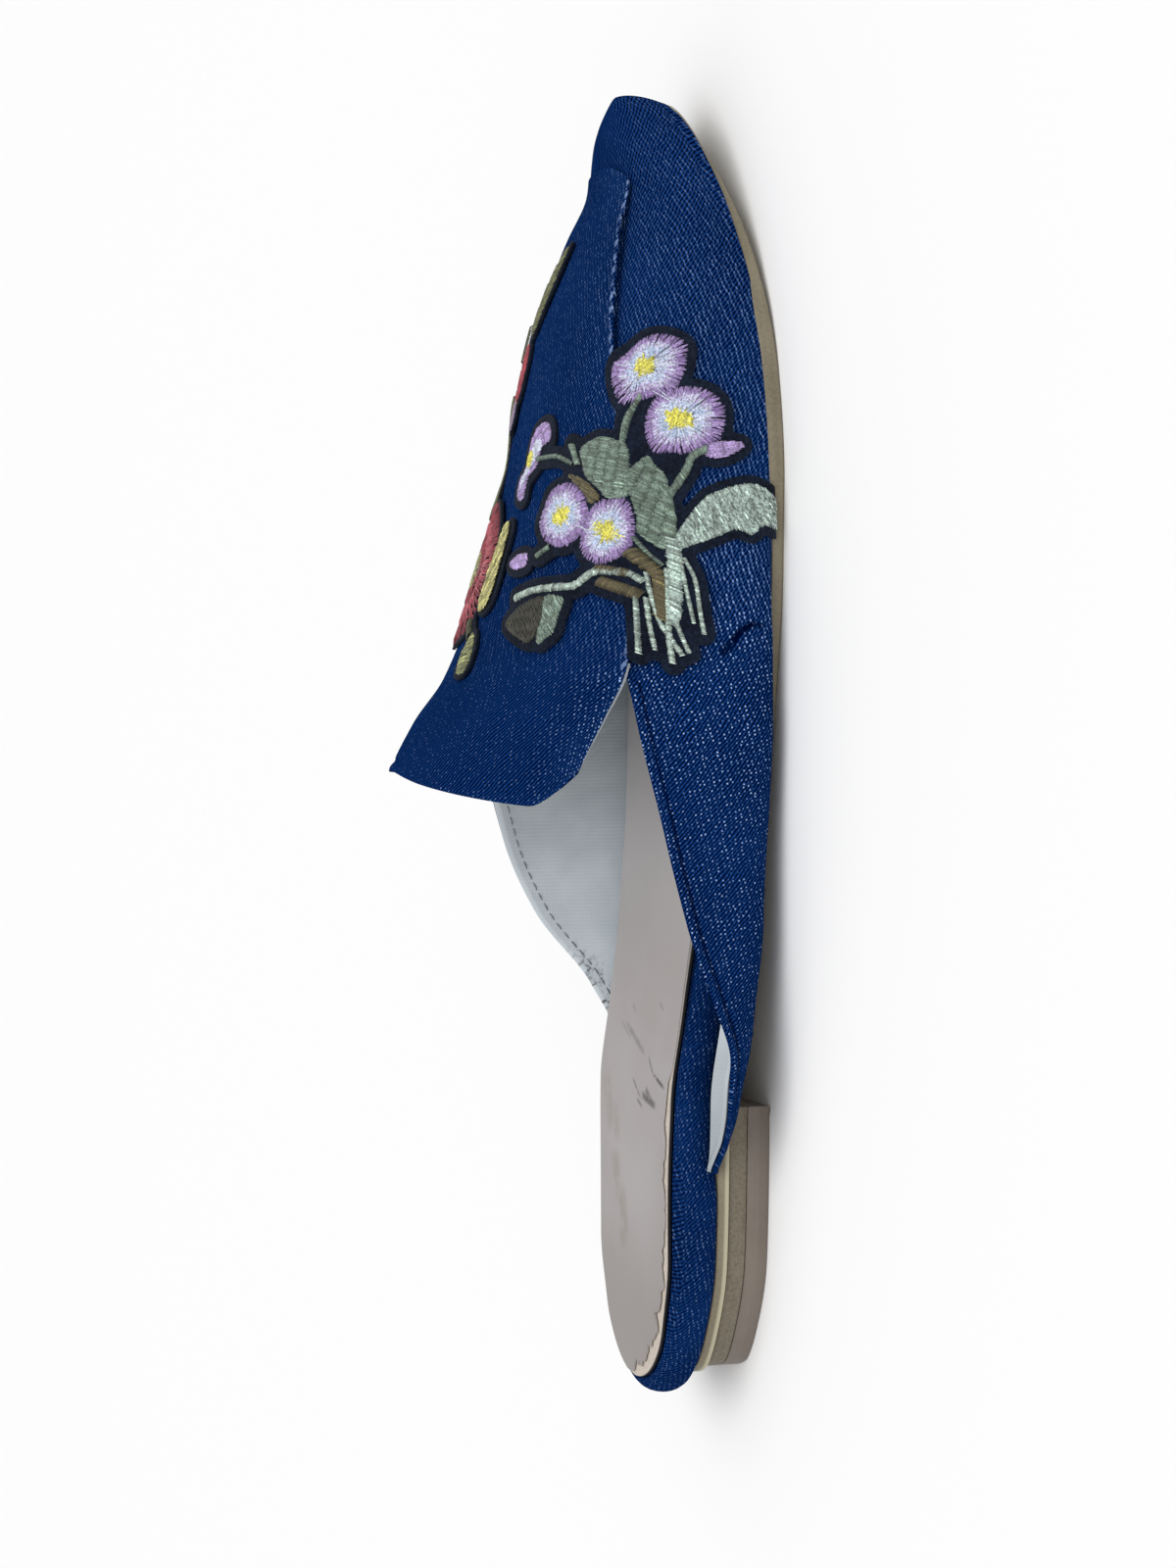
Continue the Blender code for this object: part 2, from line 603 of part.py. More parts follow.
def build_patch(name, lobes, side, material):
    """A thin pad with the outline of all its lobes together, laid over the upper."""
    flat, loops, ties = [], [], []
    for lobe in lobes:
        start = len(flat)
        flat += lobe_outline(lobe)
        loops.append(list(range(start, len(flat))))
    low, high = np.min(flat, axis=0), np.max(flat, axis=0)
    for reach in RAMP:
        start = len(flat)
        flat += [(x, seam_girth(x, side) - reach) for x in np.arange(low[0] - 1, high[0] + 3, 4.0)]
        ties += [(i, i + 1) for i in range(start, len(flat) - 1)]
    grid = [np.arange(low[k] + PATCH_GRID / 2, high[k], PATCH_GRID) for k in (0, 1)]
    flat += [(x, girth) for x in grid[0] for girth in grid[1]]
    inside_constraints = 1
    result = delaunay_2d_cdt([Vector(p) for p in flat], ties, loops, inside_constraints, 1e-3)
    plan, triangles = result[0], [list(t) for t in result[2]]
    count = len(plan)
    draped = [drape(p.x, p.y, side) for p in plan]
    points = [foot for foot, normal in draped] + [foot + PATCH_THICK * normal for foot, normal in draped]
    edges = {(a, b) for t in triangles for a, b in zip(t, t[1:] + t[:1])}
    rim = [(a, b) for a, b in edges if (b, a) not in edges]
    faces = [[v + count for v in t] for t in triangles] + [t[::-1] for t in triangles]
    faces += [[a, b, b + count, a + count] for a, b in sorted(rim)]
    used = sorted({v for face in faces for v in face})
    renumber = {old: new for new, old in enumerate(used)}
    faces = [[renumber[v] for v in face] for face in faces]
    return make_object(name, [points[v] for v in used], faces, material)


def stand_on_origin(objects):
    """Moves the meshes so that the middle of their box is over the origin, with the floor at zero."""
    corners = np.concatenate([[v.co for v in obj.data.vertices] for obj in objects])
    low, high = corners.min(axis=0), corners.max(axis=0)
    shift = ((low[0] + high[0]) / 2, (low[1] + high[1]) / 2, low[2])
    for obj in objects:
        for vertex in obj.data.vertices:
            vertex.co.x -= shift[0]
            vertex.co.y -= shift[1]
            vertex.co.z -= shift[2]


def main():
    for obj in list(bpy.data.objects):
        bpy.data.objects.remove(obj)
    denim = finish("denim", (0.020, 0.055, 0.170), 0.85)
    leather = finish("sock_leather", (0.42, 0.36, 0.33), 0.6)
    sole = finish("sole_board", (0.30, 0.23, 0.14), 0.65)
    lift = finish("heel_lift", (0.33, 0.28, 0.22), 0.6)
    build_upper(denim)
    build_apron(denim)
    build_footbed(denim)
    build_sock(leather)
    build_outsole(sole)
    build_heel(sole, lift)
    build_patch("patch_violets", VIOLETS, "lateral", finish("violet_thread", (0.35, 0.22, 0.45), 0.7))
    build_patch("patch_red_flower", RED_FLOWER, "medial", finish("red_thread", (0.42, 0.05, 0.06), 0.7))
    stand_on_origin(list(bpy.data.objects))


main()
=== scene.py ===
"""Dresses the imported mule: denim upper with its lining, raised apron and tongue tab, wrapped footbed with a worn
sock, sole and stacked heel, and two embroidered patches, on a pale studio floor."""

import logging
import math
from collections import Counter
from contextlib import contextmanager
from dataclasses import dataclass, field
from enum import Enum
from typing import Any, Iterator, NamedTuple, Protocol, Sequence

import bpy
import numpy as np
from mathutils import Matrix, Vector


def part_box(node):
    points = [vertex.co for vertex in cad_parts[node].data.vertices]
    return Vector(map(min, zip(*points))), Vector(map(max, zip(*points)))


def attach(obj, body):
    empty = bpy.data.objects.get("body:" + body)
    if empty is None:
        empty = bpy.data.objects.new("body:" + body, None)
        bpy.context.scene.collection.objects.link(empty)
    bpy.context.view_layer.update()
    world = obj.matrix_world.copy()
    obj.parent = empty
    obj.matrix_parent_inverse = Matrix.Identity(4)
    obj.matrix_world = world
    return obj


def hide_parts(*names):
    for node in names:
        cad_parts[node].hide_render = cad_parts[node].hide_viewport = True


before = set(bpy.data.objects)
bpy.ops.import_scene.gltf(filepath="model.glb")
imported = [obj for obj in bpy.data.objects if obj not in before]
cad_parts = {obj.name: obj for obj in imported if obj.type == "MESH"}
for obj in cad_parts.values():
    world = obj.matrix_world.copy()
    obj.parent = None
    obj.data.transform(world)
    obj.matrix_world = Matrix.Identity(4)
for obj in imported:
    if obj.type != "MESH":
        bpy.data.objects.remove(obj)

LOG = logging.getLogger("mule")
MM = 0.001  # sizes below are in millimetres, the meshes in metres
BODY = "root"
FAR = 20.0  # a distance from the edge at which no fold shows
Object = bpy.types.Object
Material = bpy.types.Material
Points = np.ndarray
Numbers = np.ndarray | float
Pair = tuple[float, float]
Colour = tuple[float, float, float]


class Side(Enum):
    """The two sides of the shoe."""

    LATERAL = "lateral"
    MEDIAL = "medial"


@dataclass(frozen=True)
class Table:
    """Rows of sizes along the shoe, in named columns. The column x is the distance from the heel end."""

    columns: tuple[str, ...]
    rows: tuple[tuple[float, ...], ...]

    def __getitem__(self, name: str) -> Points:
        """One column by its name."""
        return np.array([row[self.columns.index(name)] for row in self.rows], float)


# Small shapes in numbers


def arch_height(crown: float, degrees: float, fullness: float = 2.15) -> float:
    """Height over the feather line at an angle round the section."""
    return crown * math.sin(math.radians(degrees)) ** (2 / fullness)


def smooth_step(t: Numbers) -> Points:
    """Smooth rise from 0 to 1."""
    t = np.clip(t, 0, 1)
    return t * t * (3 - 2 * t)


def hump(distance: Points, middle: float, width: float) -> Points:
    """Bell of height 1 round a middle."""
    return np.exp(-(((distance - middle) / width) ** 2))


class Roll(NamedTuple):
    """A ridge, or a groove below 0, along an edge: its height, distance from the edge and half width."""

    height: float
    middle: float
    width: float


def rolls(distance: Points, table: Sequence[Roll]) -> Points:
    """Height of the ridges and grooves beside an edge."""
    return sum(roll.height * hump(distance, roll.middle, roll.width) for roll in table)


def unit(vectors: Points, least: float = 1e-9) -> Points:
    """Vectors of length 1, or shorter where they start out shorter than the least length."""
    return vectors / np.maximum(np.linalg.norm(vectors, axis=-1, keepdims=True), least)


def normals_of(points: Points) -> Points:
    """Outward unit normals of a grid of points, rows heel to toe and columns lateral to medial."""
    return unit(np.cross(np.gradient(points, axis=0), np.gradient(points, axis=1)))


def run_lengths(points: Points, axis: int = 0) -> Points:
    """Distance travelled along a line of points, or along one axis of a grid.

    Args:
        points: The points.
        axis: The axis to follow.

    Returns:
        The distance at each point.
    """
    steps = np.linalg.norm(np.diff(points, axis=axis), axis=-1)
    pad = [(0, 0)] * steps.ndim
    pad[axis] = (1, 0)
    return np.pad(np.cumsum(steps, axis=axis), pad)


def offset_ring(ring: Points, inset: Numbers) -> Points:
    """A closed plan outline moved inwards along its own normals, by one distance or one for each point."""
    tangent = unit(np.roll(ring, -1, axis=0) - np.roll(ring, 1, axis=0))
    return ring + np.stack([-tangent[:, 1], tangent[:, 0]], axis=1) * np.reshape(inset, (-1, 1))


def midline(ring: Points) -> Points:
    """The line midway between the two sides of a plan ring, beside each of its points."""
    partner = ring[(-np.arange(len(ring))) % len(ring)]
    return ring + (partner - ring) / 2


# The form of the shoe

NOTCH_X, NOTCH_CROWN = 149.5, 53.5
NOTCH_LATERAL, NOTCH_MEDIAL = 30.3, 46.0  # where the apron seam meets the throat, in degrees


@dataclass(frozen=True)
class Last:
    """The form that the shoe is built on, in millimetres from the heel end.

    The outer (lateral) side is at -Y. Points come out in the frame's own place through shift. Outline is the reach of
    the feather line to each side. Bottom is the outsole's underside and the footbed's height. Arch is the crown of
    the upper, its ridge's place and its walls' swell. Topline is the height and lean of each quarter. Belly is the
    bulge of the soft outer wall. Seam is the apron seam's angle.
    """

    shift: Points
    length: float = 276.0
    gap: float = 0.3
    wall: float = 2.0
    outsole: float = 2.6
    sole_inset: float = 4.2
    back_corner: float = 4.0
    tail_x: float = 49.0
    notch_x: float = NOTCH_X
    tab_end_x: float = 123.6
    tab_thick: float = 2.0
    panel_thick: float = 1.4
    apron_toe_x: float = 258.5
    side_fullness: float = 2.25
    crown_fullness: float = 2.15
    swell_peak: float = 6.75
    belly_sag: float = 0.8
    outline: Table = Table(
        ("x", "lateral", "medial"),
        (
            (0, 0, 0), (6, 15.5, 15.5), (14, 22.5, 22.5), (30, 29.5, 28), (55, 31.5, 28), (85, 32.5, 26.5),
            (115, 35, 28.5), (145, 39, 35), (172, 42, 41.5), (190, 42.5, 43.5), (212, 39.5, 42.5), (235, 31, 36.5),
            (254, 19.5, 27.5), (266, 10, 20), (273, 2, 13.5), (276, -6, 6),
        ),
    )
    bottom: Table = Table(
        ("x", "rise", "footbed"),
        (
            (0, 8.6, 7.2), (63, 8.6, 7.2), (80, 6.4, 7.6), (102, 3.4, 7.8), (128, 1.4, 7), (152, 0.4, 5.6),
            (170, 0, 4.8), (205, 0, 4.2), (226, 0.8, 4), (246, 3, 3.8), (262, 6.2, 3.6), (276, 9.8, 3.4),
        ),
    )
    arch: Table = Table(
        ("x", "crown", "ridge", "swell"),
        (
            (0, 67, 2, 0), (60, 67, 2, 3), (102, 68, 2, 4), (128, 65, 3, 4), (140, 60, 3.5, 3.2),
            (NOTCH_X, NOTCH_CROWN, 4, 2.5), (170, 45.5, 4.5, 1.8), (187, 40.2, 5, 1.2), (205, 36.3, 6, 1),
            (224, 31.2, 6, 1), (240, 24.8, 6, 1), (255, 17, 6, 0.8), (265, 14.5, 6, 0.5), (273, 10.5, 6, 0.2),
            (276, 7, 6, 0),
        ),
    )
    topline: Table = Table(
        ("x", "lateral", "medial", "lateral_lean", "medial_lean"),
        (
            (49, 2, 2.5, 60, 5), (52, 4.6, 2.8, 74, 6), (56, 8.5, 3.2, 78, 8), (62, 12, 4, 78, 9),
            (72, 13.5, 4.4, 74, 11), (84, 14.5, 11.2, 52, 13), (100, 17, 25.7, 24, 12), (118, 20.8, 34.7, 9, 8),
            (136, 25.5, 39, 2, 3),
            (NOTCH_X, arch_height(NOTCH_CROWN, NOTCH_LATERAL), arch_height(NOTCH_CROWN, NOTCH_MEDIAL), 0, 0),
        ),
    )
    belly: Table = Table(
        ("x", "out"),
        (
            (0, 0), (49, 0), (56, 1.5), (62, 3), (72, 4.2), (84, 5.2), (100, 6), (118, 6), (136, 5.6),
            (NOTCH_X, 4.4), (172, 2), (200, 0), (276, 0),
        ),
    )
    seam: Table = Table(
        ("x", "lateral", "medial"),
        (
            (123.6, 34.5, 44), (NOTCH_X, NOTCH_LATERAL, NOTCH_MEDIAL), (188, 40, 46), (224, 51, 52), (258.5, 54, 54),
            (276, 54, 54),
        ),
    )

    def station(self, x: Numbers) -> Points:
        """Stretched coordinate along the shoe in which both rounded ends are straight lines."""
        return np.arccos(np.clip(1 - 2 * np.asarray(x, float) / self.length, -1, 1)) / math.pi

    def column(self, table: Table, name: str, x: Numbers) -> Points:
        """Smooth value of one named column of a table, with no overshoot between its rows.

        Args:
            table: The table.
            name: The column.
            x: Where to read it.

        Returns:
            The value at each x.
        """
        keys, values, at = self.station(table["x"]), table[name], self.station(x)
        steps = np.diff(keys)
        slopes = np.diff(values) / steps
        tangents = np.zeros_like(values)
        tangents[0], tangents[-1] = slopes[0], slopes[-1]
        for i in range(1, len(values) - 1):
            if slopes[i - 1] * slopes[i] > 0:
                before, after = 2 * steps[i] + steps[i - 1], steps[i] + 2 * steps[i - 1]
                tangents[i] = (before + after) / (before / slopes[i - 1] + after / slopes[i])
        i = np.clip(np.searchsorted(keys, at, side="right") - 1, 0, len(values) - 2)
        t = np.clip((at - keys[i]) / steps[i], 0, 1)
        start = (1 + 2 * t) * (1 - t) ** 2 * values[i] + t * (1 - t) ** 2 * steps[i] * tangents[i]
        end = t**2 * (3 - 2 * t) * values[i + 1] + t**2 * (t - 1) * steps[i] * tangents[i + 1]
        return start + end

    def rise(self, x: Numbers) -> Points:
        """Height of the outsole's underside."""
        return self.column(self.bottom, "rise", x)

    def feather(self, x: Numbers) -> Points:
        """Height at which the upper and the footbed start, just over the outsole."""
        return self.rise(x) + self.outsole + self.gap

    def topline_angle(self, x: Numbers, side: Side) -> Points:
        """Angle round the section at which a quarter ends, from its own feather line."""
        share = self.column(self.topline, side.value, x) / self.column(self.arch, "crown", x)
        return np.arcsin(share ** (self.crown_fullness / 2))

    def seam_angle(self, x: Numbers, side: Side) -> Points:
        """Angle round the section of the apron seam, from its own feather line."""
        return np.radians(self.column(self.seam, side.value, x))

    def edge_angle(self, x: Numbers, side: Side) -> Points:
        """The topline behind the notch and the apron seam in front of it."""
        quarter = self.topline_angle(np.minimum(x, self.notch_x), side)
        return np.where(np.asarray(x) < self.notch_x, quarter, self.seam_angle(np.maximum(x, self.notch_x), side))

    def point(self, x: Numbers, angle: Numbers) -> Points:
        """Outer face of the upper.

        Args:
            x: Distance from the heel end.
            angle: Angle from the lateral feather line over the ridge to the medial one at pi.

        Returns:
            Points in millimetres, in the frame's place.
        """
        x, angle = np.broadcast_arrays(np.asarray(x, float), np.asarray(angle, float))
        lateral = angle <= math.pi / 2
        rise = np.where(lateral, angle, math.pi - angle)
        ridge = self.column(self.arch, "ridge", x)
        outer, inner = (self.column(self.outline, side.value, x) for side in Side)
        reach = np.where(lateral, outer + ridge, inner - ridge)
        share = rise / (math.pi / 2)
        swell = self.column(self.arch, "swell", x) * self.swell_peak * share * (1 - share) ** 2
        out = reach * np.abs(np.cos(rise)) ** (2 / self.side_fullness) + swell
        up = self.column(self.arch, "crown", x) * np.abs(np.sin(rise)) ** (2 / self.crown_fullness)
        behind = np.minimum(x, self.notch_x)
        leans = [self.column(self.topline, f"{side.value}_lean", behind) for side in Side]
        tops = [self.topline_angle(behind, side) for side in Side]
        in_quarter = (x < self.notch_x) & (rise <= np.where(lateral, *tops) + 1e-9)
        turn = np.radians(np.where(in_quarter, np.where(lateral, *leans), 0.0))
        over = out - reach
        out = reach + over * np.cos(turn) + up * np.sin(turn)
        up = up * np.cos(turn) - over * np.sin(turn)
        wall_share = np.clip(rise / self.edge_angle(x, Side.LATERAL), 0, 1)
        bulge = self.column(self.belly, "out", x) * np.sin(math.pi * np.sqrt(wall_share))
        bulge = np.where(lateral, bulge, 0.0)
        out, up = out + bulge, up - self.belly_sag * bulge
        y = ridge + np.where(lateral, -out, out)
        return np.stack([x, y, self.feather(x) + up], axis=-1) + self.shift

    def apron_thick(self, x: Numbers) -> Points:
        """Thickness of the apron, growing where it turns into the lined tongue tab."""
        share = smooth_step((np.asarray(x, float) - self.tab_end_x) / (self.notch_x - self.tab_end_x))
        return self.tab_thick - (self.tab_thick - self.panel_thick) * share

    def stations(self, count: int) -> Points:
        """Stations from heel to toe, closer together where the outline turns."""
        return self.length * (1 - np.cos(np.linspace(0, math.pi, count))) / 2

    def sole_stations(self, count: int) -> Points:
        """Stations of the outsole, which starts a little in from the heel end."""
        return self.sole_inset + (1 - self.sole_inset / self.length) * self.stations(count)

    def squared_end(self, x: Points, back: float) -> Points:
        """Share of the outline's reach that a plan with a nearly square back end has."""
        return (1 - np.clip(1 - (x - back) / self.back_corner, 0, 1) ** 3) ** (1 / 3)

    def plan_ring(self, x: Points, fullness: Numbers = 1.0) -> Points:
        """The feather line in plan: lateral side from heel to toe, then the medial side back.

        Args:
            x: Stations.
            fullness: Share of the reach to keep.

        Returns:
            The closed outline, with the toe's point taken once where both sides meet.
        """
        lateral = np.stack([x, -self.column(self.outline, "lateral", x) * fullness], axis=1)
        medial = np.stack([x, self.column(self.outline, "medial", x) * fullness], axis=1)
        return np.concatenate([lateral, medial[-2:0:-1] if x[-1] >= self.length else medial[:0:-1]])

    def raised(self, ring: Points, height: Numbers) -> Points:
        """A plan ring at a height, in the frame's place."""
        return np.column_stack([ring, np.broadcast_to(height, len(ring))]) + self.shift


def frame_shift() -> Points:
    """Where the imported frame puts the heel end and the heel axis.

    Returns:
        The shift, read from the toe of the upper and the inner side of the outsole.
    """
    loose = Last(np.zeros(3))
    packed_stations = 40
    widest = float(np.max(loose.column(loose.outline, "medial", loose.sole_stations(packed_stations))))
    return np.array([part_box("upper")[1].x / MM - loose.length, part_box("outsole")[1].y / MM - widest, 0.0])


# Modelling steps


def pick(piece: Object) -> None:
    """Selects one piece alone and makes it the active one.

    Args:
        piece: The piece.
    """
    bpy.ops.object.select_all(action="DESELECT")
    piece.select_set(True)
    bpy.context.view_layer.objects.active = piece


@contextmanager
def edit_mode(piece: Object, whole: bool = True) -> Iterator[None]:
    """Edit mode on one piece alone.

    Args:
        piece: The piece.
        whole: Selects all of it first, where the selection that it has isn't wanted.

    Yields:
        Nothing.
    """
    pick(piece)
    bpy.ops.object.mode_set(mode="EDIT")
    if whole:
        bpy.ops.mesh.select_all(action="SELECT")
    yield
    bpy.ops.object.mode_set(mode="OBJECT")


def lay_grid(name: str, points: Points, along: Points | None = None, across: Points | None = None) -> Object:
    """A grid primitive laid over points.

    Args:
        name: Name of the piece.
        points: Rows by columns of points in millimetres.
        along: Flat cloth coordinate along the rows, in millimetres.
        across: Flat cloth coordinate across them.

    Returns:
        The piece, an open sheet facing outwards where its rows run to the toe.
    """
    rows, columns = points.shape[:2]
    bpy.ops.object.select_all(action="DESELECT")
    bpy.ops.mesh.primitive_grid_add(x_subdivisions=columns - 1, y_subdivisions=rows - 1, size=1)
    piece = bpy.context.active_object
    piece.name = piece.data.name = name
    mesh = piece.data
    mesh.vertices.foreach_set("co", (points * MM).astype(np.float32).ravel())
    if along is not None:
        flat = np.stack([np.broadcast_to(value, (rows, columns)) for value in (along, across)], axis=-1).reshape(-1, 2)
        corner = np.zeros(len(mesh.loops), int)
        mesh.loops.foreach_get("vertex_index", corner)
        mesh.uv_layers[0].data.foreach_set("uv", flat[corner].astype(np.float32).ravel())
    with edit_mode(piece):
        bpy.ops.mesh.flip_normals()
    return piece


def cut(piece: Object, cells: Points) -> None:
    """Cuts cells out of a laid grid.

    Args:
        piece: The grid.
        cells: Which of its cells go.
    """
    with edit_mode(piece):
        bpy.ops.mesh.select_all(action="DESELECT")
    piece.data.polygons.foreach_set("select", cells.ravel())
    with edit_mode(piece, whole=False):
        bpy.ops.mesh.delete(type="FACE")


def merge(piece: Object, closed: bool = False) -> None:
    """Merges coincident points, and turns a closed shape's faces outwards.

    Args:
        piece: The piece.
        closed: Whether it is a closed shape.
    """
    with edit_mode(piece):
        bpy.ops.mesh.remove_doubles(threshold=2e-6)
        bpy.ops.mesh.dissolve_degenerate(threshold=1e-6)
        if closed:
            bpy.ops.mesh.normals_make_consistent(inside=False)


def paint(piece: Object, **layers: Numbers) -> None:
    """Stores numbers at the points of a piece.

    Args:
        piece: The piece.
        layers: For each name, a number for each point or one for all.
    """
    for name, values in layers.items():
        layer = piece.data.attributes.new(name, "FLOAT", "POINT")
        full = np.broadcast_to(np.ravel(values), len(piece.data.vertices))
        layer.data.foreach_set("value", np.array(full, np.float32))


def weigh(piece: Object, name: str, values: Points) -> None:
    """Stores a weight for each point of a piece as a vertex group.

    Args:
        piece: The piece.
        name: Name of the group.
        values: The weights.
    """
    group = piece.vertex_groups.new(name=name)
    for index, value in enumerate(np.ravel(values)):
        group.add([index], float(value), "REPLACE")


def modify(piece: Object, kind: str, **settings: Any) -> None:
    """Adds a modifier and applies it.

    Args:
        piece: The piece.
        kind: Blender's word for the modifier.
        settings: Its settings.
    """
    pick(piece)
    modifier = piece.modifiers.new(kind.lower(), kind)
    for key, value in settings.items():
        setattr(modifier, key, value)
    bpy.ops.object.modifier_apply(modifier=modifier.name)


def smooth(piece: Object, degrees: float = 50.0) -> None:
    """Smooth shading with edges sharper than an angle kept."""
    pick(piece)
    bpy.ops.object.shade_smooth_by_angle(angle=math.radians(degrees))


def ease(piece: Object, width: float, segments: int = 3, degrees: float = 55.0) -> None:
    """Bevels the edges of a piece that are sharper than an angle, by a width in millimetres."""
    limit = math.radians(degrees)
    modify(piece, "BEVEL", width=width * MM, segments=segments, limit_method="ANGLE", angle_limit=limit)


def thicken(piece: Object, thick: float, **wall: Any) -> None:
    """Merges a laid sheet's points and gives it a thickness inwards, in millimetres."""
    merge(piece)
    modify(piece, "SOLIDIFY", thickness=thick * MM, offset=-1.0, **wall)


def lay_rings(name: str, rings: Sequence[Points], degrees: float) -> Object:
    """A closed solid lofted through rings.

    Args:
        name: Name of the piece.
        rings: Rings of equal count, of which the first and the last are midlines.
        degrees: Sharper edges than this stay sharp.

    Returns:
        The piece.
    """
    points = np.stack(rings)
    piece = lay_grid(name, np.concatenate([points, points[:, :1]], axis=1))
    merge(piece, closed=True)
    smooth(piece, degrees)
    return piece


# Finishes


def srgb(red: int, green: int, blue: int) -> Colour:
    """A display colour as linear light."""
    shares = (red / 255, green / 255, blue / 255)
    return tuple(c / 12.92 if c <= 0.04045 else ((c + 0.055) / 1.055) ** 2.4 for c in shares)


class MarkAndShadeStreak(NamedTuple):
    """A streak that serves rubbed marks, stains and painted crease shade alike: its ends in millimetres along and
    across, half width and strength.
    """

    x0: float
    y0: float
    x1: float
    y1: float
    half: float
    dark: float


class Wire:
    """An output of a material's nodes. Arithmetic on it adds the nodes that work the result out."""

    def __init__(self, sheet: "NodeSheet", socket: bpy.types.NodeSocket) -> None:
        """Holds a socket and the sheet that it is on."""
        self.sheet, self.socket = sheet, socket

    def step(self, operation: str, other: Any = 0.0) -> "Wire":
        """One step of arithmetic, with a number or another wire."""
        return self.sheet.math(operation, self, other)

    def __add__(self, other: Any) -> "Wire":
        """Sum."""
        return self.step("ADD", other)

    def __sub__(self, other: Any) -> "Wire":
        """Difference."""
        return self.step("SUBTRACT", other)

    def __rsub__(self, other: float) -> "Wire":
        """A number less this."""
        return self.sheet.math("SUBTRACT", other, self)

    def __mul__(self, other: Any) -> "Wire":
        """Product."""
        return self.step("MULTIPLY", other)

    def __truediv__(self, other: Any) -> "Wire":
        """Quotient."""
        return self.step("DIVIDE", other)

    def __pow__(self, other: float) -> "Wire":
        """Power."""
        return self.step("POWER", other)

    def __abs__(self) -> "Wire":
        """Size without its sign."""
        return self.step("ABSOLUTE")

    def ramp(self, low: float, high: float, start: float = 0.0, end: float = 1.0) -> "Wire":
        """Smooth change as the value goes from low to high.

        Args:
            low: Where the change starts.
            high: Where it ends.
            start: Result up to low.
            end: Result from high on.

        Returns:
            The result.
        """
        made = self.sheet.node("ShaderNodeMapRange", interpolation_type="SMOOTHSTEP")
        self.sheet.feed(made, self, low, high, start, end)
        return Wire(self.sheet, made.outputs[0])

    def parts(self) -> list["Wire"]:
        """The three numbers of a vector."""
        made = self.sheet.feed(self.sheet.node("ShaderNodeSeparateXYZ"), self)
        return [Wire(self.sheet, socket) for socket in made.outputs]


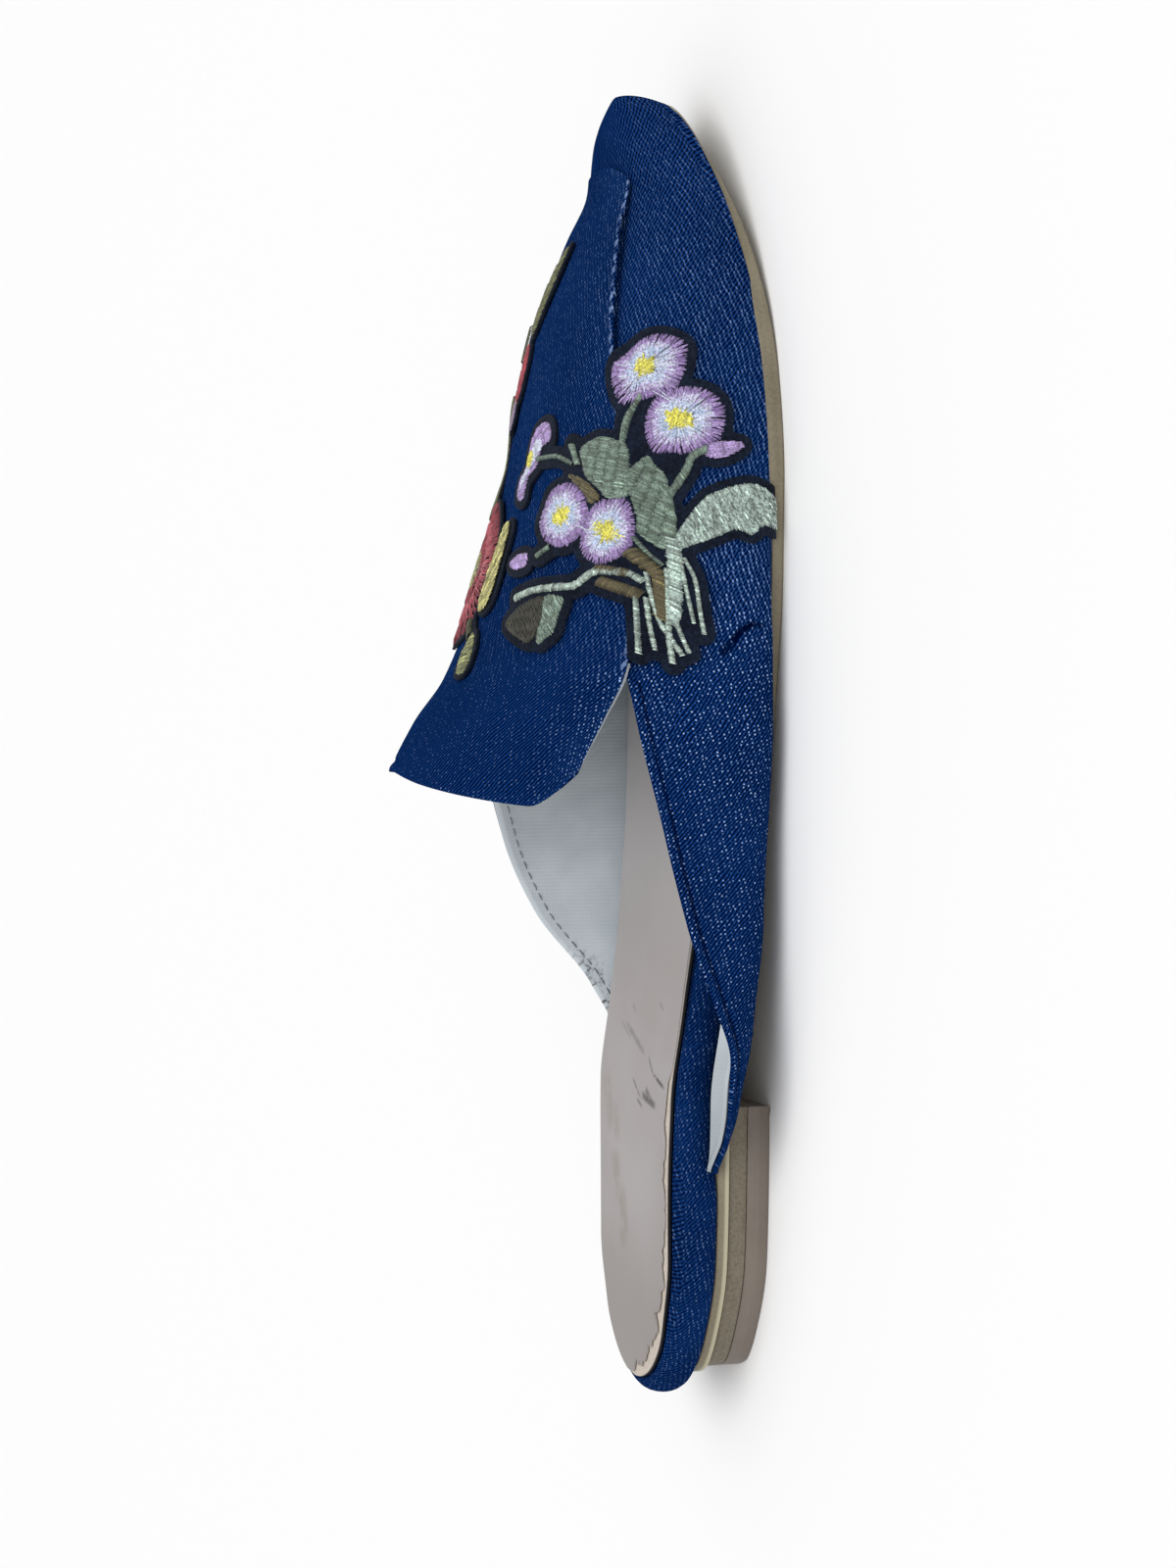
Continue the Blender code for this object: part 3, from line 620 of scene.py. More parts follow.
class NodeSheet:
    """Builds one material's nodes and links them by value."""

    def __init__(self, name: str) -> None:
        """Starts a material with its principled shader.

        Args:
            name: Name of the material.
        """
        self.material = bpy.data.materials.new(name)
        self.material.use_nodes = True
        self.tree = self.material.node_tree
        self.shader = self.tree.nodes["Principled BSDF"]

    def put(self, value: Any, socket: bpy.types.NodeSocket) -> None:
        """Links a wire to a socket, or sets a plain value on it.

        Args:
            value: A wire, a number, a vector or a colour.
            socket: Where it goes.
        """
        if isinstance(value, Wire):
            self.tree.links.new(value.socket, socket)
        elif socket.type == "RGBA" and len(value) == 3:
            socket.default_value = (*value, 1.0)
        else:
            socket.default_value = value

    def feed(self, made: bpy.types.Node, *values: Any) -> bpy.types.Node:
        """Puts values on a node's first sockets in order.

        Args:
            made: The node.
            values: The values.

        Returns:
            The same node.
        """
        for value, socket in zip(values, made.inputs):
            self.put(value, socket)
        return made

    def node(self, kind: str, **settings: Any) -> bpy.types.Node:
        """A new node.

        Args:
            kind: Blender's word for the node.
            settings: Its own settings.

        Returns:
            The node.
        """
        made = self.tree.nodes.new(kind)
        for key, value in settings.items():
            setattr(made, key, value)
        return made

    def math(self, operation: str, a: Any, b: Any = 0.0) -> Wire:
        """One step of arithmetic."""
        return Wire(self, self.feed(self.node("ShaderNodeMath", operation=operation), a, b).outputs[0])

    def mix(self, share: Any, first: Any, second: Any) -> Wire:
        """Mix of two colours.

        Args:
            share: Share of the second.
            first: The first colour.
            second: The second colour.

        Returns:
            The mixed colour.
        """
        made = self.node("ShaderNodeMix", data_type="RGBA")
        for value, index in ((share, 0), (first, 6), (second, 7)):
            self.put(value, made.inputs[index])
        return Wire(self, made.outputs[2])

    def vector(self, x: Any, y: Any, z: Any = 0.0) -> Wire:
        """Three numbers as a vector."""
        return Wire(self, self.feed(self.node("ShaderNodeCombineXYZ"), x, y, z).outputs[0])

    def noise(self, vector: Wire, scale: float, detail: float = 2.0, rough: float = 0.5) -> Wire:
        """Soft noise from 0 to 1.

        Args:
            vector: The place.
            scale: Blobs for each unit of length.
            detail: Finer layers.
            rough: Strength of the finer layers.

        Returns:
            The noise.
        """
        made = self.node("ShaderNodeTexNoise")
        for name, value in (("Vector", vector), ("Scale", scale), ("Detail", detail), ("Roughness", rough)):
            self.put(value, made.inputs[name])
        return Wire(self, made.outputs["Fac"])

    def dice(self, vector: Wire) -> list[Wire]:
        """Three random numbers for each whole-numbered vector."""
        made = self.feed(self.node("ShaderNodeTexWhiteNoise"), vector)
        return Wire(self, made.outputs["Color"]).parts()

    def cloth(self) -> list[Wire]:
        """The piece's own flat cloth coordinates, in millimetres."""
        return Wire(self, self.node("ShaderNodeUVMap").outputs[0]).parts()

    def place(self) -> Wire:
        """Object coordinates, in metres."""
        return Wire(self, self.node("ShaderNodeTexCoord").outputs["Object"])

    def stored(self, name: str, output: str = "Fac") -> Wire:
        """A value that the piece carries at its points."""
        return Wire(self, self.node("ShaderNodeAttribute", attribute_name=name).outputs[output])

    def streaks(self, x: Wire, y: Wire, scuffs: Sequence[MarkAndShadeStreak]) -> Wire:
        """How strongly streaks show at a place.

        Args:
            x: Millimetres along.
            y: Millimetres across.
            scuffs: The streaks.

        Returns:
            Strength from 0 to 1.
        """
        total = None
        for scuff in scuffs:
            run = math.hypot(scuff.x1 - scuff.x0, scuff.y1 - scuff.y0)
            c, s = (scuff.x1 - scuff.x0) / run, (scuff.y1 - scuff.y0) / run
            along = x * c + y * s - (scuff.x0 * c + scuff.y0 * s)
            aside = y * c - x * s - (scuff.y0 * c - scuff.x0 * s)
            ends = along.ramp(0.0, 0.25 * run) * along.ramp(0.7 * run, run, 1.0, 0.0)
            one = ends * abs(aside).ramp(0.3 * scuff.half, 1.3 * scuff.half, scuff.dark, 0.0)
            total = total.step("MAXIMUM", one) if total else one
        return total

    def bump(self, height: Wire, distance: float, strength: float = 1.0) -> None:
        """Fine relief.

        Args:
            height: Where the surface stands out.
            distance: How far, in metres.
            strength: Share of the effect.
        """
        made = self.node("ShaderNodeBump")
        for name, value in (("Strength", strength), ("Distance", distance), ("Height", height)):
            self.put(value, made.inputs[name])
        self.tree.links.new(made.outputs[0], self.shader.inputs["Normal"])

    def shade(self, **inputs: Any) -> Material:
        """Sets the shader's sockets.

        Args:
            inputs: Values by the sockets' names, with underscores for spaces.

        Returns:
            The finished material.
        """
        for key, value in inputs.items():
            self.put(value, self.shader.inputs[key.replace("_", " ").title().replace("Ior", "IOR")])
        return self.material


class Finish(Protocol):
    """What dresses a piece."""

    def material(self) -> Material:
        """Builds the material."""


@dataclass(frozen=True)
class Denim:
    """Indigo twill with rows of white weft specks, worn pale along its folds.

    It reads the piece's flat cloth coordinates and its stored edge, show and dash values. A cell of the weave is
    along by across millimetres. Dash draws the specks out into dashes along the warp.
    """

    name: str
    gain: float = 1.0
    dashes: bool = False
    along: float = 0.8
    across: float = 1.08
    lean: float = 13.0
    groove: float = 0.0
    twill: float = 0.4
    speck_half: float = 0.2
    dash_half: float = 0.56
    seam_pitch: float = 2.9
    seam_lean: float = 0.36
    folds: tuple[MarkAndShadeStreak, ...] = ()
    dark: Colour = srgb(0, 8, 40)
    middle: Colour = srgb(16, 53, 111)
    light: Colour = srgb(66, 110, 180)
    speck: Colour = srgb(172, 200, 246)

    def material(self) -> Material:
        """Builds the material.

        Returns:
            The denim.
        """
        n = NodeSheet(self.name)
        u, v, _ = n.cloth()
        edge, show, dash = (n.stored(name) for name in ("edge", "show", "dash"))
        fold = edge.ramp(0.3, 2.0, 1.0, 0.0)
        show = show * (fold * (0.8 * self.gain) + self.gain)
        wander = n.noise(n.vector(u, v), 0.22, 1.0) - 0.5
        c, s = math.cos(math.radians(self.lean)), math.sin(math.radians(self.lean))
        p = u * (c / self.along) + v * (s / self.along) + wander * 0.9
        q = v * (c / self.across) - u * (s / self.across) + wander * 0.7
        cell, row = p.step("FLOOR"), q.step("FLOOR")
        slide, drift, chance = n.dice(n.vector(cell, row))
        long = dash * (self.dash_half - self.speck_half) + self.speck_half
        off_p = (p.step("FRACT") + slide * (1.0 - dash) * 0.4 - 0.7) * self.along / long
        off_q = (q.step("FRACT") + drift * 0.4 - 0.7) * (self.across / self.speck_half)
        dot = (off_p * off_p + off_q * off_q).step("SQRT").ramp(0.3, 1.2, 1.0, 0.0)
        streak = n.noise(n.vector(p * 0.16, row * 3.7), 1.0, 1.0)
        spark = chance * (1.0 - dash * 0.6) + streak * dash * 0.7 + fold * 0.12
        warp = ((p + q) * (2 * math.pi)).step("COSINE").ramp(-0.9, 0.9)
        fibre = n.noise(n.vector(u, v * 1.6), 1.7, 3.0, 0.7)
        cloud = n.noise(n.vector(u, v), 0.045, 2.0)
        base = warp * self.twill + fibre * 0.6 + cloud * 0.3
        colour = n.mix(base.ramp(0.26 + self.twill / 2, 0.66 + self.twill / 2), self.dark, self.middle)
        relief = dot * 0.8 + warp * self.twill + fibre * 0.5
        # painted shade: the colour darkens to the dark tone along the stitched groove at this distance from the edge
        if self.groove:
            colour = n.mix(abs(edge - self.groove).ramp(0.12, 0.55, 0.75, 0.0), colour, self.dark)
        # painted shade: the creases' streaks darken the colour, sink the bump and hide the specks
        if self.folds:
            crease_shade = n.streaks(u, v, self.folds)
            colour = n.mix(crease_shade, colour, self.dark)
            show, relief = show * (1.0 - crease_shade), relief - crease_shade * 2.0
        shown = dot * show
        colour = n.mix(shown * (chance * 0.65 + 0.3), colour, self.light)
        colour = n.mix((shown * spark**2.8).step("MINIMUM", 0.95), colour, self.speck)
        if self.dashes:
            turn = (u * (1 / self.seam_pitch) + edge * self.seam_lean).step("FRACT")
            mark = abs(turn - 0.5).ramp(0.12, 0.32, 1.0, 0.0) * abs(edge - 0.7).ramp(0.15, 0.65, 1.0, 0.0)
            patchy = n.noise(n.vector(u, 0.0), 0.21, 2.0).ramp(0.35, 0.6) * dash.ramp(0.2, 0.5)
            colour = n.mix(mark * patchy * 0.45, colour, self.speck)
        n.bump(relief, 0.00022, 0.6)
        return n.shade(base_color=colour, roughness=0.95, specular_ior_level=0.0)


@dataclass(frozen=True)
class LiningCloth:
    """Pale grey-blue ribbed cloth with painted shade towards its heel end and dirt rubbed in near the back of its
    inner edge.

    It reads the piece's flat cloth coordinates and its stored edge.
    """

    name: str = "lining_cloth"
    rib: float = 0.8
    cross: float = 0.6
    pale: Colour = srgb(206, 213, 217)
    deep: Colour = srgb(188, 196, 202)
    shade: Colour = srgb(128, 136, 142)
    dirt: Colour = srgb(46, 46, 48)

    def material(self) -> Material:
        """Builds the material.

        Returns:
            The ribbed lining.
        """
        n = NodeSheet(self.name)
        u, v, _ = n.cloth()
        rib = (u * (2 * math.pi / self.rib)).step("SINE")
        cross = (v * (2 * math.pi / self.cross)).step("SINE")
        mottle = n.noise(n.vector(u, v), 0.09, 3.0)
        colour = n.mix((rib * 0.04 + cross * 0.03 + mottle * 0.9).ramp(0.2, 0.8), self.deep, self.pale)
        # painted shade: behind station 84 the lining darkens towards the heel end
        colour = n.mix(u.ramp(58.0, 84.0, 0.5, 0.0), colour, self.shade)
        near = n.stored("edge").ramp(1.0, 7.0, 1.0, 0.0) * u.ramp(84.0, 96.0, 1.0, 0.0) * v.ramp(40.0, 60.0)
        smudge = n.noise(n.vector(u, v), 0.7, 4.0, 0.65).ramp(0.50, 0.64)
        colour = n.mix(near * smudge * 0.85, colour, self.dirt)
        n.bump(rib * 0.5 + cross * 0.3, 0.0001, 0.22)
        return n.shade(base_color=colour, roughness=0.9, specular_ior_level=0.2)


@dataclass(frozen=True)
class SockLeather:
    """Smooth pink-grey leather with fine grain, scuffs and rubbed stains, paler where the quarters cover it."""

    shift: Points = field(hash=False, compare=False)
    name: str = "sock_leather"
    tone: Colour = srgb(170, 165, 165)
    warm: Colour = srgb(158, 152, 150)
    front: Colour = srgb(188, 184, 184)
    heel: Colour = srgb(146, 140, 136)
    mark: Colour = srgb(80, 76, 77)
    stain: Colour = srgb(124, 110, 94)
    scuffs: tuple[MarkAndShadeStreak, ...] = (
        MarkAndShadeStreak(77.2, 9.0, 70.6, -9.6, 0.8, 0.42),
        MarkAndShadeStreak(77.0, 12.0, 73.4, 2.0, 0.6, 0.22),
        MarkAndShadeStreak(71.3, -10.2, 67.1, -15.4, 0.45, 0.6),
        MarkAndShadeStreak(67.9, -14.0, 65.2, -23.6, 0.5, 0.95),
        MarkAndShadeStreak(66.1, -0.4, 61.5, -7.2, 0.4, 0.65),
        MarkAndShadeStreak(62.9, -6.4, 61.0, -18.4, 1.0, 0.85),
        MarkAndShadeStreak(64.4, -9.6, 61.6, -14.8, 1.0, 0.7),
        MarkAndShadeStreak(61.6, -3.9, 60.0, -8.1, 0.5, 0.6),
        MarkAndShadeStreak(80.9, 4.8, 79.2, 1.0, 0.6, 0.24),
        MarkAndShadeStreak(82.6, -13.4, 80.8, -17.4, 0.5, 0.3),
    )
    stains: tuple[MarkAndShadeStreak, ...] = (
        MarkAndShadeStreak(66, 19, 51, 15, 3.4, 0.34),
        MarkAndShadeStreak(60, 12, 50, 10, 2.6, 0.26),
        MarkAndShadeStreak(50, 13, 36, 9, 3.4, 0.32),
        MarkAndShadeStreak(43, 8, 27, 5, 3.6, 0.32),
    )

    def material(self) -> Material:
        """Builds the material from Object coordinates.

        Returns:
            The leather.
        """
        n = NodeSheet(self.name)
        place = n.place()
        x, y = (axis / MM - float(off) for axis, off in zip(place.parts(), self.shift[:2]))
        mottle = n.noise(place, 28.0, 3.0)
        grain = n.noise(place, 900.0, 2.0)
        colour = n.mix((mottle * 0.9 + grain * 0.12).ramp(0.3, 0.75), self.warm, self.tone)
        colour = n.mix(x.ramp(86, 126, 0.0, 0.8), colour, self.front)
        colour = n.mix(x.ramp(12, 44, 0.75, 0.0), colour, self.heel)
        marks = n.streaks(x, y, self.scuffs) * n.noise(place, 420.0, 3.0, 0.7).ramp(0.28, 0.5)
        stains = n.streaks(x, y, self.stains) * n.noise(place, 110.0, 3.0, 0.6).ramp(0.32, 0.55)
        colour = n.mix(marks, n.mix(stains, colour, self.stain), self.mark)
        n.bump(grain * 0.6 - marks * 0.8, 0.00012, 0.35)
        return n.shade(base_color=colour, roughness=mottle * 0.12 + 0.46, specular_ior_level=0.35)


@dataclass(frozen=True)
class Board:
    """A cut sole or heel layer: gritty speckle, streaks along its side, and a pale band between two heights where
    asked.

    With a wall colour it paints shade over the side wall that the piece's stored wall value marks.
    """

    name: str
    tone: Colour
    deep: Colour
    grit: float = 0.5
    rough: float = 0.6
    line: Colour = srgb(186, 179, 153)
    line_low: float = 0.0
    line_high: float = 0.0
    wall: Colour | None = None

    def material(self) -> Material:
        """Builds the material from Object coordinates.

        Returns:
            The layer's finish.
        """
        n = NodeSheet(self.name)
        place = n.place()
        x, y, z = place.parts()
        speck = n.noise(place, 1500.0, 2.0, 0.7)
        cloud = n.noise(place, 60.0, 3.0)
        streak = n.noise(n.vector(x * 18.0, y * 18.0, z * 900.0), 1.0, 2.0)
        blend = speck * self.grit + cloud * 0.5 + streak * 0.35
        colour = n.mix(blend.ramp(0.25, 0.6 + 0.6 * self.grit), self.deep, self.tone)
        if self.line_high > self.line_low:
            half = (self.line_high - self.line_low) / 2 * MM
            off = abs(z - (self.line_high + self.line_low) / 2 * MM)
            colour = n.mix(off.ramp(0.3 * half, half, 0.85, 0.0), colour, self.line)
        # painted shade: the marked side wall takes the dark wall colour
        if self.wall:
            colour = n.mix(n.stored("wall"), colour, self.wall)
        n.bump(speck * self.grit + streak * 0.3, 0.0001, 0.5)
        return n.shade(base_color=colour, roughness=self.rough, specular_ior_level=0.35)


@dataclass(frozen=True)
class Felt:
    """Matt blue-black felt with a fibrous nap."""

    name: str
    dark: Colour = srgb(8, 14, 26)
    pale: Colour = srgb(30, 40, 58)

    def material(self) -> Material:
        """Builds the material from Object coordinates.

        Returns:
            The felt.
        """
        n = NodeSheet(self.name)
        place = n.place()
        nap = n.noise(place, 1400.0, 4.0, 0.75)
        cloud = n.noise(place, 220.0, 2.0)
        colour = n.mix((nap * 0.8 + cloud * 0.3).ramp(0.4, 0.8), self.dark, self.pale)
        n.bump(nap, 0.0004, 0.8)
        return n.shade(base_color=colour, roughness=0.95, sheen_weight=0.05, specular_ior_level=0.1)


@dataclass(frozen=True)
class Thread:
    """Embroidery thread, coloured strand by strand, with dark lines where its plies meet."""

    name: str
    rough: float = 0.42
    gloss: float = 0.5
    sheen: float = 0.15
    ply: Colour = (0.02, 0.02, 0.02)

    def material(self) -> Material:
        """Builds the material from the colour that each strand carries.

        Returns:
            The thread.
        """
        n = NodeSheet(self.name)
        twist = n.noise(n.place(), 2600.0, 2.0)
        colour = n.mix(twist.ramp(0.40, 0.62, 0.0, 0.55), n.stored("thread", "Color"), self.ply)
        n.bump(twist, 0.00008, 0.4)
        return n.shade(
            base_color=colour, roughness=self.rough, sheen_weight=self.sheen, specular_ior_level=self.gloss
        )


def settle(piece: Object, finish: Finish, node: str, slot: str | None = None) -> None:
    """Dresses a finished piece and ties it to the frame.

    Args:
        piece: The finished piece.
        finish: What dresses it.
        node: The CAD node that it stands for.
        slot: Not used.
    """
    piece.data.materials.clear()
    piece.data.materials.append(finish.material())
    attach(piece, BODY)
    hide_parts(node)
    LOG.info("%s: %d faces", piece.name, len(piece.data.polygons))


# Upper


class Crease(NamedTuple):
    """A soft trough in the denim: its middle along and up the wall, turn, half sizes and depth."""

    x: float
    girth: float
    turn: float
    half_long: float
    half_wide: float
    depth: float


@dataclass
class Upper:
    """Vamp and quarters: denim outside, folded over along the topline, and ribbed cloth inside.

    Edge_rolls is the fold of the topline with its stitched groove. Specks is how strongly the weave's specks show.
    """

    last: Last
    quarter_rows: int = 90
    vamp_rows: int = 96
    side_cells: int = 30
    apron_cells: int = 14
    crowding: float = 1.7
    walk_steps: int = 25
    most_trim: float = 0.7
    trim_fade: float = 4.0
    denim_thick: float = 1.1
    denim_bevel: float = 0.45
    lining_thick: float = 0.78
    layer_gap: float = 0.06
    lining_trim: float = 0.3
    outer_trim: float = 2.6
    outer_trim_x: float = 66.0
    outer_trim_run: float = 12.0
    lining_back: float = 3.2
    toe_round_x: float = 262.0
    toe_tuck: float = 1.5
    toe_roll: float = 0.6
    toe_drop: float = 1.1
    toe_drop_x: float = 236.0
    toe_drop_run: float = 26.0
    ripple: float = 0.07
    # distance from the topline of the stitched groove, where the denim's colour is darkened with painted shade
    groove: float = 2.3
    dash_x: float = 145.0
    dash_run: float = 35.0
    edge_rolls: tuple[Roll, ...] = (Roll(0.32, 0.8, 0.7), Roll(-0.38, 2.3, 0.45), Roll(0.14, 3.6, 0.9))
    specks: Table = Table(
        ("x", "show"),
        ((60, 0.55), (110, 1.15), (148, 1.6), (165, 1.1), (190, 0.62), (225, 0.5), (250, 0.4), (270, 0.3)),
    )
    creases: tuple[Crease, ...] = (
        Crease(157.2, 10.2, -56.0, 5.5, 1.6, 0.55),
        Crease(150.0, 8.5, 20.0, 9.0, 2.4, 0.35),
        Crease(134.0, 12.0, 8.0, 16.0, 3.0, 0.30),
        Crease(108.0, 7.0, 5.0, 14.0, 2.6, 0.30),
        Crease(226.0, 9.0, 10.0, 15.0, 3.0, 0.20),
    )
    # creases whose shade is painted into the denim's colour as dark streaks
    folds: tuple[MarkAndShadeStreak, ...] = (
        MarkAndShadeStreak(153.2, 15.2, 156.4, 11.1, 1.1, 0.8),
        MarkAndShadeStreak(155.2, 12.4, 159.2, 9.2, 0.9, 1.0),
        MarkAndShadeStreak(157.9, 10.4, 160.1, 6.2, 0.8, 1.0),
        MarkAndShadeStreak(159.9, 7.9, 159.0, 4.6, 0.6, 0.8),
    )

    def stations(self) -> Points:
        """Rows of the grid from the tail to the toe, closer at the toe.

        Returns:
            Their distances from the heel end.
        """
        last = self.last
        back = np.linspace(last.tail_x, last.notch_x, self.quarter_rows + 1)
        front = np.sin(np.linspace(0, math.pi / 2, self.vamp_rows + 1))[1:]
        return np.concatenate([back, last.notch_x + (last.length - last.notch_x) * front])

    def angles(self, x: Points, lateral_trim: Numbers = 0.0, medial_trim: float = 0.0) -> Points:
        """Columns of the grid round the section, crowded towards the edges.

        Args:
            x: The rows.
            lateral_trim: How far short of the outer topline the sheet stops, in millimetres.
            medial_trim: How far short of the inner one.

        Returns:
            Angles for each row and column.
        """
        share = 1 - (1 - np.linspace(0, 1, self.side_cells + 1)) ** self.crowding
        sides = []
        for side, trim in zip(Side, (lateral_trim, medial_trim)):
            edge = self.last.edge_angle(x, side)
            sweep = edge[:, None] * np.linspace(0, 1, self.walk_steps)
            walk = self.last.point(x[:, None], sweep if side is Side.LATERAL else math.pi - sweep)
            wall = run_lengths(walk, 1)[:, -1]
            short = np.minimum(trim / np.maximum(wall, 0.1), self.most_trim)
            sides.append(edge * (1 - short * smooth_step((self.last.notch_x - x) / self.trim_fade)))
        lateral, medial = (side[:, None] for side in sides)
        middle = np.linspace(0, 1, self.apron_cells + 1)[1:-1]
        over = lateral + (math.pi - medial - lateral) * middle
        return np.concatenate([lateral * share, over, math.pi - medial * share[::-1]], axis=1)

    def edge_distance(self, points: Points) -> Points:
        """Distance from the nearer topline.

        Args:
            points: The grid.

        Returns:
            The distance at each point, large in front of the notch.
        """
        run = run_lengths(points, 1)
        first, second = self.side_cells, self.side_cells + self.apron_cells
        distance = np.full(run.shape, FAR)
        distance[:, : first + 1] = run[:, first : first + 1] - run[:, : first + 1]
        distance[:, second:] = run[:, second:] - run[:, second : second + 1]
        ahead = smooth_step((self.stations() - self.last.notch_x + 0.5) / 1.5)[:, None]
        return distance + FAR * ahead

    def relief(self, points: Points, x: Points, edge: Points) -> Points:
        """Height of the rolled fold, its stitched groove and the soft creases over the plain form.

        Args:
            points: The grid.
            x: Its rows.
            edge: Distance from the topline at each point.

        Returns:
            The height at each point.
        """
        height = rolls(edge, self.edge_rolls)
        girth = run_lengths(points, 1)
        xs = np.broadcast_to(x[:, None], girth.shape)
        for crease in self.creases:
            turn = math.radians(crease.turn)
            dx, dg = xs - crease.x, girth - crease.girth
            along = dx * math.cos(turn) + dg * math.sin(turn)
            across = -dx * math.sin(turn) + dg * math.cos(turn)
            lip = 0.6 * hump(across, 2.2 * crease.half_wide, 1.2 * crease.half_wide)
            pit = hump(across, 0, crease.half_wide) - lip
            height = height - crease.depth * pit * hump(along, 0, crease.half_long)
        waves = np.sin(xs / 7.3 + girth / 9.1) + np.sin(xs / 11.7 - girth / 5.3 + 1.3)
        return height + self.ripple * waves * smooth_step(edge / 4)

    def round_toe(self, points: Points, x: Points) -> None:
        """Rounds the blunt tip of the toe, more below than above.

        Args:
            points: The grid, which is changed.
            x: Its rows.
        """
        low, high = points[..., 2].min(axis=1, keepdims=True), points[..., 2].max(axis=1, keepdims=True)
        height = (points[..., 2] - low) / np.maximum(high - low, 1e-6)
        back = self.toe_tuck * (1 - height) ** 2 + self.toe_roll * height**4
        share = smooth_step((x - self.toe_round_x) / (self.last.length - self.toe_round_x))
        points[..., 0] -= back * share[:, None]

    def cut_throat(self, piece: Object) -> None:
        """Cuts the open throat out of a laid grid.

        Args:
            piece: The grid.
        """
        cells = np.zeros((self.quarter_rows + self.vamp_rows, 2 * self.side_cells + self.apron_cells), bool)
        cells[: self.quarter_rows, self.side_cells : self.side_cells + self.apron_cells] = True
        cut(piece, cells)

    def build_denim(self) -> Object:
        """The outer denim, rolled in along the topline.

        Returns:
            The piece.
        """
        x = self.stations()
        points = self.last.point(x[:, None], self.angles(x))
        edge, girth = self.edge_distance(points), run_lengths(points, 1)
        points = points + normals_of(points) * self.relief(points, x, edge)[..., None]
        drop = self.toe_drop * smooth_step((x - self.toe_drop_x) / self.toe_drop_run)
        points[:, [0, -1], 2] -= (self.last.gap + drop)[:, None]
        points[-1] = points[-1] * (1, 0, 1) + (0, points[-1, :, 1].mean(), 0)
        self.round_toe(points, x)
        piece = lay_grid("upper_denim", points, x[:, None], girth)
        across = np.abs(np.linspace(-1, 1, edge.shape[1])) ** 0.5
        show = np.interp(x, self.specks["x"], self.specks["show"])[:, None] * across
        dash = np.broadcast_to(smooth_step((x - self.dash_x) / self.dash_run)[:, None], edge.shape)
        paint(piece, edge=edge, show=show, dash=dash)
        self.cut_throat(piece)
        thicken(piece, self.denim_thick, use_quality_normals=True)
        ease(piece, self.denim_bevel)
        smooth(piece)
        return piece

    def build_lining(self) -> Object:
        """The inner cloth, which stops short of the fold.

        Returns:
            The piece.
        """
        x = self.stations()
        edge = self.edge_distance(self.last.point(x[:, None], self.angles(x)))
        share = smooth_step((x - self.outer_trim_x) / self.outer_trim_run)
        outer = self.lining_trim + (self.outer_trim - self.lining_trim) * share
        points = self.last.point(x[:, None], self.angles(x, outer, self.lining_trim))
        girth, normals = run_lengths(points, 1), normals_of(points)
        normals[: self.quarter_rows, self.side_cells] = normals[: self.quarter_rows, self.side_cells - 1]
        front = points[-1, :, 0].mean() - self.lining_back
        points = points - normals * (self.denim_thick + self.layer_gap)
        points[..., 0] = np.minimum(points[..., 0], front)
        points[-1] = points[-2] * (0, 0, 1) + (front, points[-2, :, 1].mean(), 0)
        piece = lay_grid("upper_lining", points, x[:, None], girth)
        paint(piece, edge=edge)
        self.cut_throat(piece)
        thicken(piece, self.lining_thick)
        smooth(piece)
        return piece

    def build(self) -> None:
        """Builds and dresses both layers."""
        settle(self.build_denim(), Denim("denim_upper", groove=self.groove, folds=self.folds), "upper", "denim_upper")
        settle(self.build_lining(), LiningCloth(), "upper")


# Apron and tongue tab


